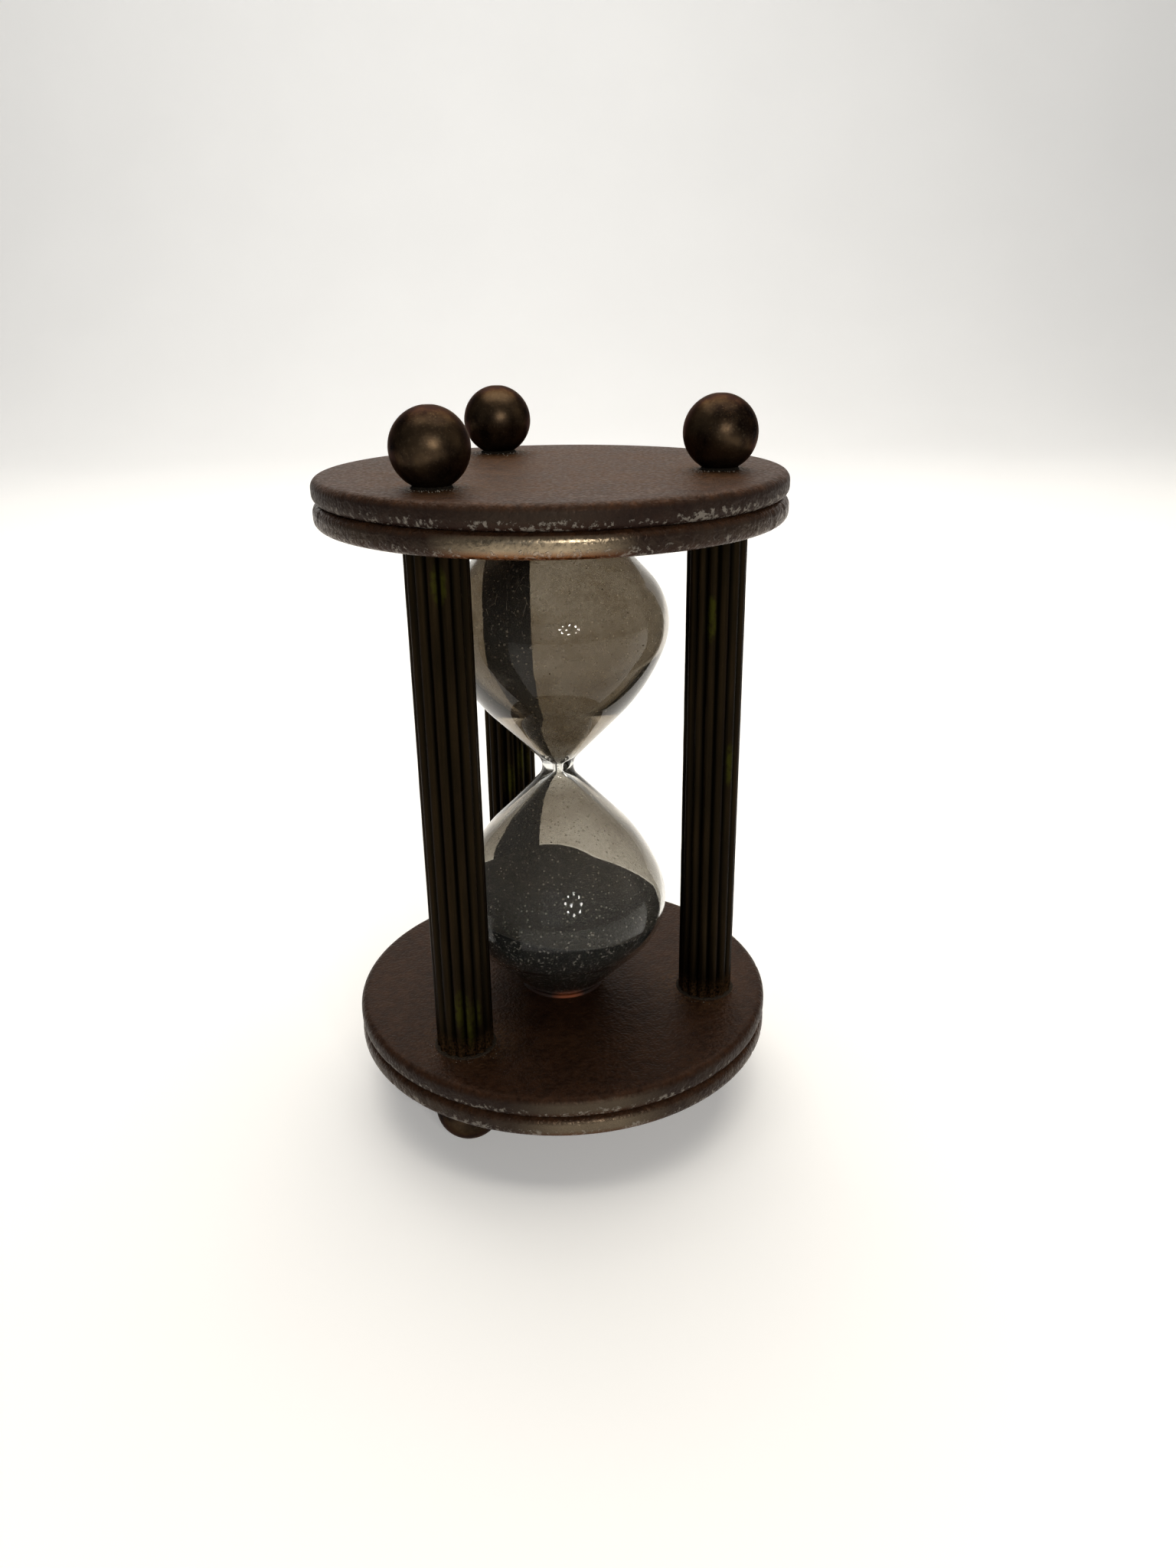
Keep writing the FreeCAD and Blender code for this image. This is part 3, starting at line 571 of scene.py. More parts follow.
def film_finish(surface, settled_normal):
    """The inner skin of the glass, with the fine dust that the running sand has left on it: a tan
    film that dims the light, none of it below the sand, with specks and hair scratches."""
    f = Finish(
        "dusty_inner_glass", IOR=1.42,
        **{"Transmission Weight": 1.0, "Specular Tint": (0.2, 0.2, 0.2, 1)},
    )
    z = f.add("SeparateXYZ", (f.place,))[2]
    neck = middle_of("glass_vessel").z
    cloud = f.marks(24, 3, 0.55, 3, 0.33, 0.67)
    streaky = f.marks(9, 4, 0.65, 7, 0.33, 0.67, stretch=(1, 1, 2.2))
    fine = f.marks(0.9, 1, 0.5, 5, 0.36, 0.64)
    upper = f.add("MapRange", (z, neck - 1 * MM, neck + 1 * MM))
    over = f.add("VectorMath", (f.place, settled_normal), operation="DOT_PRODUCT")["Value"]
    over = f.add("Math", (over, surface.dot(settled_normal)), operation="SUBTRACT")
    above = f.add("MapRange", (over, -0.3 * MM, 0.6 * MM, 0.04, 1.0))
    away = f.add("Math", (f.add("Math", (z, neck), operation="SUBTRACT"),), operation="ABSOLUTE")
    neck_gap = f.add("MapRange", (away, 1.3 * MM, 1.9 * MM))
    mixed = f.add("Math", (streaky, 0.25), operation="MULTIPLY")
    mixed = f.add("Math", (cloud, 0.3, mixed), operation="MULTIPLY_ADD")
    mixed = f.add("Math", (fine, 0.45, mixed), operation="MULTIPLY_ADD")
    amount = f.add("MapRange", (mixed, 0.0, 1.0, 0.74, 1.0))
    amount = f.add("Math", (amount, above), operation="MULTIPLY")
    amount = f.add("Math", (amount, neck_gap), operation="MULTIPLY")
    funnel = f.add("MapRange", (away, 1.3 * MM, 24 * MM, 0.55, 0.0))
    funnel = f.add("Math", (upper, funnel), operation="MULTIPLY")
    tint = f.add("Mix", {0: upper, 6: linear("#a69f93"), 7: linear("#6c5e48")}, data_type="RGBA")[2]
    tint = f.add("Mix", {0: funnel, 6: tint, 7: linear("#2b251d")}, data_type="RGBA")[2]
    # specks of dust, drawn at twice their real size so that they show, and hair scratches
    cells = f.add("TexVoronoi", {"Scale": per_mm(1.1), "Vector": f.place})
    size = f.add("SeparateXYZ", (cells["Color"],))[1]
    size = f.add("MapRange", (size, 0.3, 1.0, 0.0, 0.34))
    speck = f.add("Math", (cells["Distance"], size), operation="SUBTRACT")
    speck = f.add("MapRange", (speck, -0.05, 0.0, 0.95, 0.0))
    bent = f.add("Mapping", {"Scale": (1, 1, 0.45), "Vector": f.place})
    hairs = f.add(
        "TexVoronoi", {"Scale": per_mm(2.6), "Vector": bent}, feature="DISTANCE_TO_EDGE",
    )
    scratched = f.nearest([HAIR_SCRATCHES])
    scratched = f.add("MapRange", (scratched, 6 * MM, 13 * MM, 0.5, 0.0))
    part = f.marks(1.8, 2, 0.6, 15, 0.45, 0.6)
    scratched = f.add("Math", (scratched, part), operation="MULTIPLY")
    hair = f.add("MapRange", (hairs["Distance"], 0.015, 0.03, 1.0, 0.0))
    hair = f.add("Math", (hair, scratched), operation="MULTIPLY")
    loose = f.add("MapRange", (over, -0.5 * MM, 1 * MM, 0.3, 0.45))
    loose = f.add("Math", (speck, loose), operation="MULTIPLY")
    loose = f.add("Math", (loose, hair), operation="MAXIMUM")
    skin = f.add("Mix", {0: amount, 6: linear("#f6f7f4"), 7: tint}, data_type="RGBA")[2]
    share = f.add("MapRange", (loose, 0.0, 0.3))
    base = f.add("Mix", {0: share, 6: skin, 7: linear("#b9b1a3")}, data_type="RGBA")[2]
    f.surface(Base_Color=base)
    milky = f.add("Math", (funnel, 0.3), operation="MULTIPLY")
    milky = f.add("Math", (amount, 0.1, milky), operation="MULTIPLY_ADD")
    clear = f.add("MapRange", (f.add("Math", (milky, loose), operation="ADD"), 0.0, 1.0, 1.0, 0.0))
    f.surface(Transmission_Weight=clear)
    f.surface(Roughness=f.add("MapRange", (fine, 0.0, 1.0, 0.0, 0.05)))
    return f.material


def sand_finish(colours):
    """Fine black iron sand: charcoal, matt, with pale quartz grains and a few that glint. The
    grains are drawn at 0.5 mm, more than twice their real size, so that they show."""
    f = Finish("black_sand", Roughness=0.8, **{"Specular IOR Level": 0.15})
    cells = f.add("TexVoronoi", {"Scale": per_mm(0.5), "Vector": f.place})
    shade = f.add("SeparateXYZ", (cells["Color"],))[0]
    share = f.add("MapRange", (shade, 0.0, 1.0, 0.0, 0.3))
    base = f.add("Mix", {0: share, 6: colours.sand, 7: linear("#3a3835")}, data_type="RGBA")[2]
    share = f.add("MapRange", (shade, 0.9, 0.95))
    base = f.add("Mix", {0: share, 6: base, 7: colours.sand_grain}, data_type="RGBA")[2]
    # up-facing sand is mixed paler: painted light from above on the settled surface
    up = f.add("SeparateXYZ", (f.add("NewGeometry")["Normal"],))[2]
    top = f.add("MapRange", (up, 0.8, 0.97))
    share = f.add("Math", (top, 0.22), operation="MULTIPLY")
    base = f.add("Mix", {0: share, 6: base, 7: linear("#8b857a")}, data_type="RGBA")[2]
    f.surface(Base_Color=base)
    f.surface(Normal=f.add("Bump", {"Distance": 0.18 * MM, "Height": cells["Distance"]}))
    return f.material


def plain_metal_finish(name, shade, roughness, streak):
    """Plain turned or drawn metal, with its tool marks."""
    f = Finish(name, Metallic=1.0)
    marks = f.marks(streak, 3, 0.6, 2, stretch=(1, 1, 6))
    share = f.add("MapRange", (marks, 0.3, 0.7, 0, 0.5))
    base = f.add("Mix", {0: share, 6: shade, 7: linear("#3b3128")}, data_type="RGBA")[2]
    f.surface(Base_Color=base)
    f.surface(Roughness=f.add("MapRange", (marks, 0.3, 0.7, roughness, roughness + 0.15)))
    f.surface(Normal=f.add("Bump", {"Distance": 0.02 * MM, "Height": marks}))
    return f.material


def leather_finish(colours):
    """Vegetable-tanned cowhide, brown: matt, with a fine pebbled grain."""
    f = Finish("tan_leather", Roughness=0.6)
    cells = f.add("TexVoronoi", {"Scale": per_mm(0.8), "Vector": f.place})
    shade = f.add("MapRange", (cells["Distance"], 0.0, 0.6))
    base = f.add("Mix", {0: shade, 6: linear("#140a06"), 7: colours.leather}, data_type="RGBA")[2]
    # an orange patch round that point is painted light falling through the glass onto the seat
    light_spot = f.nearest([LEATHER_LIGHT_SPOT])
    light_spot = f.add("MapRange", (light_spot, 2 * MM, 5.5 * MM, 0.9, 0.0))
    base = f.add("Mix", {0: light_spot, 6: base, 7: linear("#8a4218")}, data_type="RGBA")[2]
    f.surface(Base_Color=base)
    f.surface(Normal=f.add("Bump", {"Distance": 0.08 * MM, "Height": cells["Distance"]}))
    return f.material


def grime_finish(name, dark, pale):
    """House dust and old polish, matt and crumbly."""
    # made dark, this finish also stands for painted shade where the balls meet the plates
    f = Finish(name, Roughness=0.95, **{"Specular IOR Level": 0.15})
    fine = f.marks(0.4, 3, 0.7, 7)
    share = f.add("MapRange", (fine, 0.4, 0.68))
    base = f.add("Mix", {0: share, 6: linear(dark), 7: linear(pale)}, data_type="RGBA")[2]
    f.surface(Base_Color=base)
    f.surface(Normal=f.add("Bump", {"Distance": 0.15 * MM, "Height": fine}))
    return f.material


def floor_finish(colours):
    """Matt painted board, nearly white, with a faint unevenness, and lit evenly from behind so that
    shadows on it stay pale."""
    f = Finish(
        "painted_board", Roughness=0.8,
        **{"Specular IOR Level": 0.2, "Emission Color": (1, 1, 1, 1), "Emission Strength": 0.2},
    )
    tone = f.marks(180, 3, 0.5, 1, 0.3, 0.7)
    base = f.add("Mix", {0: tone, 6: colours.floor, 7: linear("#efeeeb")}, data_type="RGBA")[2]
    f.surface(Base_Color=base)
    return f.material


# ---------------------------------------------------------------- outlines


def arc_points(middle, radius, first, last, steps):
    """Points along an arc about middle, from one angle to another."""
    turns = [first + (last - first) * i / steps for i in range(steps + 1)]
    return [(middle[0] + radius * math.cos(t), middle[1] + radius * math.sin(t)) for t in turns]


def bulb_outline(sizes, inset, mouth, rise, neck_rounding):
    """One bulb's wall as (radius, distance from the neck's middle), from the neck to the end."""
    slope = sizes.flank_angle
    across, along = math.sin(slope), math.cos(slope)
    shoulder = sizes.shoulder_rounding - inset
    belly = sizes.belly_rounding - inset
    neck = (mouth + neck_rounding, rise)
    start = Vector((neck[0] - neck_rounding * along, neck[1] + neck_rounding * across))
    middle = Vector((sizes.belly_radius - sizes.belly_rounding, sizes.belly_height))
    offset = (middle - start).dot(Vector((along, -across))) + shoulder
    blend = slope - math.acos(offset / (shoulder - belly))
    bend = middle + Vector((-math.cos(blend), math.sin(blend))) * (shoulder - belly)
    end = (0, middle.y + middle.x * along / across)
    points = arc_points(neck, neck_rounding, math.pi, math.pi - slope, 14)
    points += arc_points(bend, shoulder, -slope, -blend, 16)
    points += arc_points(middle, belly, -blend, slope, 34)
    points += arc_points(end, belly, slope, math.pi / 2, 22)
    kept = [points[0]]
    for point in points[1:]:
        if math.dist(point, kept[-1]) > 0.01 * MM:
            kept.append(point)
    kept[-1] = (0, kept[-1][1])
    return kept


# ---------------------------------------------------------------- operators


class HOURGLASS_OT_plates(Operator):
    """Make the four round plates with rounded, slightly nicked rims"""

    bl_idname = "hourglass.plates"
    bl_label = "Plates"

    def plate(self, node, sizes, seat, seed):
        """One plate: a disc with rounded edges, nicked, then drilled for the rods and the seat."""
        low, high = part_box(node)
        radius, thick = (high.x - low.x) / 2, high.z - low.z
        clear_selection()
        bpy.ops.mesh.primitive_cylinder_add(
            vertices=480, radius=radius, depth=thick, location=(0, 0, (low.z + high.z) / 2),
        )
        piece = bpy.context.object
        bpy.ops.object.transform_apply(location=True)
        edit(piece)
        pick(piece, "EDGE", lambda e: abs(e.verts[0].co.z - e.verts[1].co.z) < 1e-6)
        bpy.ops.mesh.bevel(offset=sizes.plate_edge, segments=7, profile=0.5, affect="EDGES")
        for _ in range(2):
            pick(piece, "FACE", lambda face: abs(face.normal.z) > 0.99 and len(face.verts) > 100)
            bpy.ops.mesh.inset(thickness=4 * MM, use_even_offset=True)
        dice = random.Random(seed)
        # each nick's turn, its side of the rim and its size; more of them are on the lower edge
        nicks = [
            (dice.uniform(0, math.tau), dice.choice((-1, -1, 1)), dice.uniform(0.3, 1))
            for _ in range(46)
        ]
        middle = (low.z + high.z) / 2

        def nick_at(vertex, nick):
            turn, side, size = nick
            if vertex.co.xy.length < radius - 0.9 * MM or (vertex.co.z - middle) * side < 0.6 * MM:
                return False
            turn = math.atan2(vertex.co.y, vertex.co.x) - turn
            return abs((turn + math.pi) % math.tau - math.pi) * radius < 1.1 * MM * size

        for nick in nicks:
            if pick(piece, "VERT", lambda v: nick_at(v, nick)):
                bpy.ops.transform.shrink_fatten(value=-sizes.rim_nick * nick[2])
        holes = [(middle_of(f"foot_{place}"), sizes.rod_hole) for place in PLACES]
        if seat:
            holes.append((Vector((0, 0, 0)), sizes.seat_hole))
        for centre, hole_radius in holes:
            clear_selection()
            bpy.ops.mesh.primitive_cylinder_add(
                vertices=48, radius=hole_radius, depth=3 * thick,
                location=(centre.x, centre.y, middle),
            )
            drill = bpy.context.object
            modify(piece, "BOOLEAN", operation="DIFFERENCE", object=drill, solver="EXACT")
            remove(drill)
        return piece

    def execute(self, context):
        sizes, colours = context.scene.hourglass_sizes, context.scene.hourglass_colours
        plates = (
            # node, with a seat, dust, flakes, roughness, rubbed rim, tone and painted shade,
            # and how strong and where the rubbed rim patch with its painted highlight is
            ("top_outer_plate", False, 0.40, 0.70, 0.40, 0.02, 1.0, 0.05, LEFT_RUB_HIGHLIGHT),
            ("top_inner_plate", True, 0.20, 0.45, 0.22, 0.06, 1.0, 1.0, LEFT_RUB_HIGHLIGHT),
            ("bottom_inner_plate", True, 0.04, 0.80, 0.36, 0.03, 0.5, 0.20, RIGHT_RUB_HIGHLIGHT),
            ("bottom_outer_plate", False, 0.20, 0.75, 0.24, 0.06, 0.8, 0.38, RIGHT_RUB_HIGHLIGHT),
        )
        for seed, (node, seat, *looks) in enumerate(plates):
            piece = self.plate(node, sizes, seat, seed)
            low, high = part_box(node)
            finish = plate_finish(f"bronzed_brass_{node}", colours, low, high, *looks)
            place, side = node.split("_")[:2]
            finish_piece(piece, f"plate_{place}_{side}", [finish], [node])
        return {"FINISHED"}


class HOURGLASS_OT_columns(Operator):
    """Make the three reeded columns"""

    bl_idname = "hourglass.columns"
    bl_label = "Columns"

    def execute(self, context):
        sizes, colours = context.scene.hourglass_sizes, context.scene.hourglass_colours
        low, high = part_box("column_back")
        reeds = sizes.reed_count
        clear_selection()
        bpy.ops.mesh.primitive_cylinder_add(
            vertices=2 * reeds, radius=sizes.groove_radius, depth=high.z - low.z,
        )
        column = bpy.context.object
        edit(column)
        half = math.pi / reeds
        reed_height = 0.78 * MM
        in_bore = 6.9 * MM  # nearer the axis than this, a point belongs to the bore

        def on_crest(vertex):
            steps = math.atan2(vertex.co.y, vertex.co.x) / half
            return round(steps) % 2 == 0

        def upright(edge):
            return abs(edge.verts[0].co.z - edge.verts[1].co.z) > MM

        pick(column, "VERT", on_crest)
        push = sizes.reed_apex / sizes.groove_radius
        bpy.ops.transform.resize(value=(push, push, 1))
        pick(column, "EDGE", lambda e: upright(e) and on_crest(e.verts[0]))
        bpy.ops.mesh.bevel(offset=sizes.reed_rounding, segments=8, profile=0.5, affect="EDGES")
        # a bore through the tube, then rings along it so that its surface can waver a little
        pick(column, "FACE", lambda face: abs(face.normal.z) > 0.99)
        bpy.ops.mesh.inset(thickness=1.0 * MM, use_even_offset=True)
        pick(column, "VERT", lambda v: v.co.xy.length < in_bore)
        mesh = bmesh.from_edit_mesh(column.data)
        for vertex in mesh.verts:
            if vertex.select:
                vertex.co.xy = vertex.co.xy.normalized() * sizes.bore_radius
        bmesh.update_edit_mesh(column.data)
        pick(column, "FACE", lambda face: abs(face.normal.z) > 0.99 and len(face.verts) > 40)
        bpy.ops.mesh.bridge_edge_loops()
        pick(column, "EDGE", lambda e: upright(e) and e.verts[0].co.xy.length > in_bore)
        bpy.ops.mesh.subdivide(number_cuts=40)
        bpy.ops.object.mode_set(mode="OBJECT")
        unevenness(column, 6 * MM, 0.10 * MM)
        crest = column.data.attributes.new("crest", "FLOAT", "POINT")
        for vertex, mark in zip(column.data.vertices, crest.data):
            mark.value = (vertex.co.xy.length - sizes.groove_radius) / reed_height
        finish = column_finish(colours)
        phase = math.radians(8)  # how the reeds stand to the line from the stand's middle
        for place in PLACES:
            spot = middle_of(f"column_{place}")
            turn = math.atan2(spot.y, spot.x) + phase
            piece = copy_of(column, spot, turn)
            node = f"column_{place}"
            finish_piece(piece, f"reeded_{node}", [finish], [node])
        remove(column)
        return {"FINISHED"}


class HOURGLASS_OT_balls(Operator):
    """Make the three feet and the three finials, with flats where they sit and wear"""

    bl_idname = "hourglass.balls"
    bl_label = "Balls"

    def execute(self, context):
        sizes, colours = context.scene.hourglass_sizes, context.scene.hourglass_colours
        low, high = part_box("finial_back")
        clear_selection()
        bpy.ops.mesh.primitive_uv_sphere_add(segments=96, ring_count=48, radius=sizes.ball_radius)
        ball = bpy.context.object
        seat_drop = sizes.ball_seat
        wear_rise = (high.z - low.z) - seat_drop
        unevenness(ball, 5 * MM, 0.05 * MM)
        edit(ball)
        for height, direction in ((-seat_drop, -1), (wear_rise, 1)):
            bpy.ops.mesh.select_all(action="SELECT")
            bpy.ops.mesh.bisect(
                plane_co=(0, 0, height), plane_no=(0, 0, direction), use_fill=True,
                clear_outer=True, threshold=FINE,
            )
        pick(ball, "EDGE", lambda e: all(abs(v.co.z + seat_drop) < 1e-6 for v in e.verts))
        bpy.ops.mesh.bevel(offset=0.25 * MM, segments=2, affect="EDGES")
        bpy.ops.object.mode_set(mode="OBJECT")
        finish = ball_finish(colours)
        for place in PLACES:
            for kind, flipped in (("finial", False), ("foot", True)):
                spot = middle_of(f"{kind}_{place}")
                low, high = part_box(f"{kind}_{place}")
                spot.z = high.z - seat_drop if flipped else low.z + seat_drop
                turn = math.atan2(spot.y, spot.x) + (2 if flipped else 0)
                piece = copy_of(ball, spot, turn, flipped)
                node = f"{kind}_{place}"
                finish_piece(piece, f"ball_{node}", [finish], [node], 40)
        remove(ball)
        return {"FINISHED"}


def settled_plane(sizes):
    """A point and the normal of the sand's surface, tilted the way the frame's sand is."""
    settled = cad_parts["sand"].data
    uphill = max(settled.vertices, key=lambda v: v.co.z).co.xy.normalized()
    slope = sizes.sand_slope
    normal = Vector((-uphill.x * math.sin(slope), -uphill.y * math.sin(slope), math.cos(slope)))
    return Vector((0, 0, middle_of("glass_vessel").z - sizes.sand_level)), normal


class HOURGLASS_OT_glass(Operator):
    """Blow the glass: an outer skin and an inner skin, joined into one closed wall"""

    bl_idname = "hourglass.glass"
    bl_label = "Glass"

    def execute(self, context):
        sizes = context.scene.hourglass_sizes
        neck = middle_of("glass_vessel").z

        def both_bulbs(bulb):
            lower = [(radius, neck - away) for radius, away in reversed(bulb)]
            upper = [(radius, neck + away) for radius, away in bulb]
            return lower + upper[1 if abs(bulb[0][1]) < 1e-9 else 0:]

        outside = bulb_outline(sizes, 0, sizes.neck_radius, 0, 5 * MM)
        inside = bulb_outline(sizes, sizes.wall, sizes.neck_bore, 1.2 * MM, 2 * MM)
        outer = spin_outline("outer_skin", both_bulbs(outside))
        outer.data.materials.append(outer_glass_finish())
        inner = spin_outline("inner_skin", both_bulbs(inside))
        inner.data.materials.append(film_finish(*settled_plane(sizes)))
        edit(inner)
        bpy.ops.mesh.select_all(action="SELECT")
        bpy.ops.mesh.flip_normals()
        take(inner, outer)
        bpy.ops.object.join()
        vessel = bpy.context.object
        finish_piece(vessel, "blown_glass", [], ["glass_vessel"], 80)
        return {"FINISHED"}


class HOURGLASS_OT_sand(Operator):
    """Fill the lower bulb with sand, tilted as it settled, with loose grains on its surface"""

    bl_idname = "hourglass.sand"
    bl_label = "Sand"

    def execute(self, context):
        sizes, colours = context.scene.hourglass_sizes, context.scene.hourglass_colours
        neck = middle_of("glass_vessel").z
        inset = sizes.wall + sizes.sand_gap
        bulb = bulb_outline(sizes, inset, sizes.neck_bore, 1.2 * MM, 2 * MM)
        outline = [(radius, neck - away) for radius, away in reversed(bulb)]
        outline.append((0, neck - bulb[0][1]))
        sand = spin_outline("sand_body", outline, 128)
        surface, normal = settled_plane(sizes)
        edit(sand)
        bpy.ops.mesh.select_all(action="SELECT")
        bpy.ops.mesh.bisect(plane_co=surface, plane_no=normal, use_fill=True, clear_outer=True)
        for step in (0.6, 1.0, 2.0, 3.0, 4.0, 5.0, 5.0, 5.0):
            pick(sand, "FACE", lambda f: f.normal.dot(normal) > 0.999 and len(f.verts) > 60)
            bpy.ops.mesh.inset(thickness=step * MM, use_even_offset=False)
        bpy.ops.mesh.poke()
        pick(sand, "FACE", lambda f: f.normal.dot(normal) > 0.99)
        bpy.ops.mesh.subdivide(number_cuts=1)
        bpy.ops.object.mode_set(mode="OBJECT")
        group = sand.vertex_groups.new(name="surface")
        rim = max(math.hypot(*v.co.xy) for v in sand.data.vertices)
        for vertex in sand.data.vertices:
            if (vertex.co - surface).dot(normal) > -0.01 * MM:
                weight = min(1.0, (rim - vertex.co.xy.length) / (5 * MM))
                group.add([vertex.index], max(0.0, weight), "REPLACE")
        unevenness(sand, 9 * MM, 1.3 * MM, "surface")
        unevenness(sand, 1.6 * MM, 0.35 * MM, "surface")
        finish = sand_finish(colours)
        finish_piece(sand, "settled_sand", [finish], ["sand"], 50)
        self.scatter_grains(surface, normal, rim, finish)
        return {"FINISHED"}

    def scatter_grains(self, surface, normal, reach, finish):
        """Loose grains lying on the settled surface."""
        across = normal.orthogonal().normalized()
        along = normal.cross(across)
        dice = random.Random(5)
        spots = []
        for _ in range(2600):
            away, turn = reach * 0.93 * math.sqrt(dice.random()), dice.uniform(0, math.tau)
            spot = surface + across * (away * math.cos(turn)) + along * (away * math.sin(turn))
            spot = spot + normal * dice.uniform(-0.1, 0.35) * MM
            spots.append((spot, dice.uniform(0.10, 0.24) * MM))
        make_crumbs("loose_grains", spots, dice, finish)


def make_crumbs(name, spots, dice, finish):
    """One crumb of twenty faces, copied to every spot at its own size and turn, in one mesh."""
    clear_selection()
    bpy.ops.mesh.primitive_ico_sphere_add(subdivisions=1, radius=1)
    crumb = bpy.context.object
    shape = [v.co.copy() for v in crumb.data.vertices]
    faces = [tuple(p.vertices) for p in crumb.data.polygons]
    remove(crumb)
    points, sides = [], []
    for spot, size in spots:
        first = len(points)
        stretch = Vector([size * dice.uniform(0.6, 1.2) for _ in range(3)])
        points += [spot + Vector([c * s for c, s in zip(corner, stretch)]) for corner in shape]
        sides += [tuple(first + i for i in face) for face in faces]
    mesh = bpy.data.meshes.new(name)
    mesh.from_pydata(points, [], sides)
    piece = bpy.data.objects.new(name, mesh)
    bpy.context.scene.collection.objects.link(piece)
    return finish_piece(piece, name, [finish], smooth_angle=20)


class HOURGLASS_OT_seats(Operator):
    """Make the two leather rings that hold the ends of the glass"""

    bl_idname = "hourglass.seats"
    bl_label = "Leather seats"

    def execute(self, context):
        sizes, colours = context.scene.hourglass_sizes, context.scene.hourglass_colours
        finish = leather_finish(colours)
        for node, flipped in (("lower_seat", False), ("upper_seat", True)):
            low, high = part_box(node)
            glass_low, glass_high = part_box("glass_vessel")
            rounding = sizes.belly_rounding
            bowl = (glass_high.z - rounding) if flipped else (glass_low.z + rounding)
            sign = -1 if flipped else 1
            base, top = (high.z, low.z) if flipped else (low.z, high.z)
            radius = (high.x - low.x) / 2
            opening, steps = 4 * MM, 14
            reach = math.acos(abs(bowl - top) / rounding)
            hole = math.asin(opening / rounding)
            turns = [hole + (reach - hole) * i / steps for i in range(steps + 1)]
            hollow = [(rounding * math.sin(t), bowl - sign * rounding * math.cos(t)) for t in turns]
            soft = 0.45 * MM
            outline = [(opening, base), (radius - soft, base), (radius, base + sign * soft)]
            outline += [(radius, top - sign * soft), (radius - soft, top)] + hollow[::-1]
            outline.append(outline[0])
            piece = spin_outline(node, outline, 96)
            unevenness(piece, 2.5 * MM, 0.06 * MM)
            finish_piece(piece, f"leather_{node}", [finish], [node])
        return {"FINISHED"}


class HOURGLASS_OT_fixings(Operator):
    """Give the tie rods and bushes their metals; their shapes are the frame's own"""

    bl_idname = "hourglass.fixings"
    bl_label = "Rods and bushes"

    def execute(self, context):
        colours = context.scene.hourglass_colours
        steel = plain_metal_finish("drawn_steel", colours.steel, 0.35, 0.6)
        brass = plain_metal_finish("turned_brass", colours.worn_brass, 0.4, 0.5)
        for place in PLACES:
            fixings = (
                (f"tie_rod_{place}", steel), (f"lower_bush_{place}", brass),
                (f"upper_bush_{place}", brass),
            )
            for node, finish in fixings:
                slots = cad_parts[node].data.materials
                if not slots:
                    raise RuntimeError(f"{node} has no material slot")
                for i in range(len(slots)):
                    slots[i] = finish
        return {"FINISHED"}


class HOURGLASS_OT_dust(Operator):
    """Lay the grime and crumbs that have gathered where balls and columns meet the plates"""

    bl_idname = "hourglass.dust"
    bl_label = "Gathered dust"

    def ring(self, name, centre, radius, width, height, finish, seed):
        """A low ring of dust on a plate: the upper half of a torus, flattened and made uneven."""
        clear_selection()
        bpy.ops.mesh.primitive_torus_add(
            major_radius=radius, minor_radius=width, major_segments=96, minor_segments=12,
            location=centre,
        )
        piece = bpy.context.object
        bpy.ops.object.transform_apply(location=True)
        edit(piece)
        bpy.ops.mesh.select_all(action="SELECT")
        bpy.ops.mesh.bisect(
            plane_co=centre, plane_no=(0, 0, -1), clear_outer=True, threshold=FINE,
        )
        bpy.ops.mesh.select_all(action="SELECT")
        flat = height / width
        bpy.ops.transform.resize(value=(1, 1, flat), center_override=centre)
        pick(piece, "EDGE", lambda e: len(e.link_faces) == 1)
        bpy.ops.mesh.bridge_edge_loops()
        bpy.ops.mesh.select_all(action="SELECT")
        bpy.ops.mesh.normals_make_consistent(inside=False)
        bpy.ops.object.mode_set(mode="OBJECT")
        group = piece.vertex_groups.new(name="loose")
        raised = [v.index for v in piece.data.vertices if v.co.z > centre.z + 0.02 * MM]
        group.add(raised, 1.0, "REPLACE")
        unevenness(piece, (0.9 + 0.1 * seed) * MM, 0.6 * height, "loose")
        return finish_piece(piece, name, [finish])

    def execute(self, context):
        grime_and_shade = grime_finish("dark_grime_and_shade", "#0e0b08", "#2c241b")
        dust = grime_finish("house_dust", "#1c150f", "#40372c")
        crumb = grime_finish("pale_crumbs", "#6e675c", "#aca598")
        dice = random.Random(11)
        spots = []
        for seed, place in enumerate(PLACES):
            seat = middle_of(f"finial_{place}")
            seat.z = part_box(f"finial_{place}")[0].z
            # the dark ring round each ball's seat is partly grime and partly painted shade under
            # the ball
            self.ring(f"grime_ball_{place}", seat, 4.1 * MM, 1.1 * MM, 0.75 * MM, grime_and_shade, seed)
            foot = middle_of(f"column_{place}")
            foot.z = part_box(f"column_{place}")[0].z
            self.ring(f"dust_column_{place}", foot, 8.0 * MM, 0.9 * MM, 0.30 * MM, dust, seed)
            for _ in range(90):
                away, turn = dice.gauss(6.6, 1.3) * MM, dice.uniform(0, math.tau)
                size = dice.uniform(0.06, 0.2) * MM
                spot = seat + Vector((away * math.cos(turn), away * math.sin(turn), size * 0.5))
                spots.append((spot, size))
            for _ in range(70):
                away, turn = abs(dice.gauss(9.2, 1.0)) * MM, dice.uniform(0, math.tau)
                size = dice.uniform(0.05, 0.14) * MM
                spot = foot + Vector((away * math.cos(turn), away * math.sin(turn), size * 0.4))
                spots.append((spot, size))
        make_crumbs("pale_crumbs", spots, dice, crumb)
        pits = [(Vector(p) * MM, dice.uniform(0.16, 0.3) * MM) for p in GLASS_PITS]
        make_crumbs("dark_specks", pits, dice, grime_and_shade)
        lint = [(Vector(p) * MM, 0.28 * MM) for p in GLASS_LINT]
        make_crumbs("lint_specks", lint, dice, crumb)
        return {"FINISHED"}


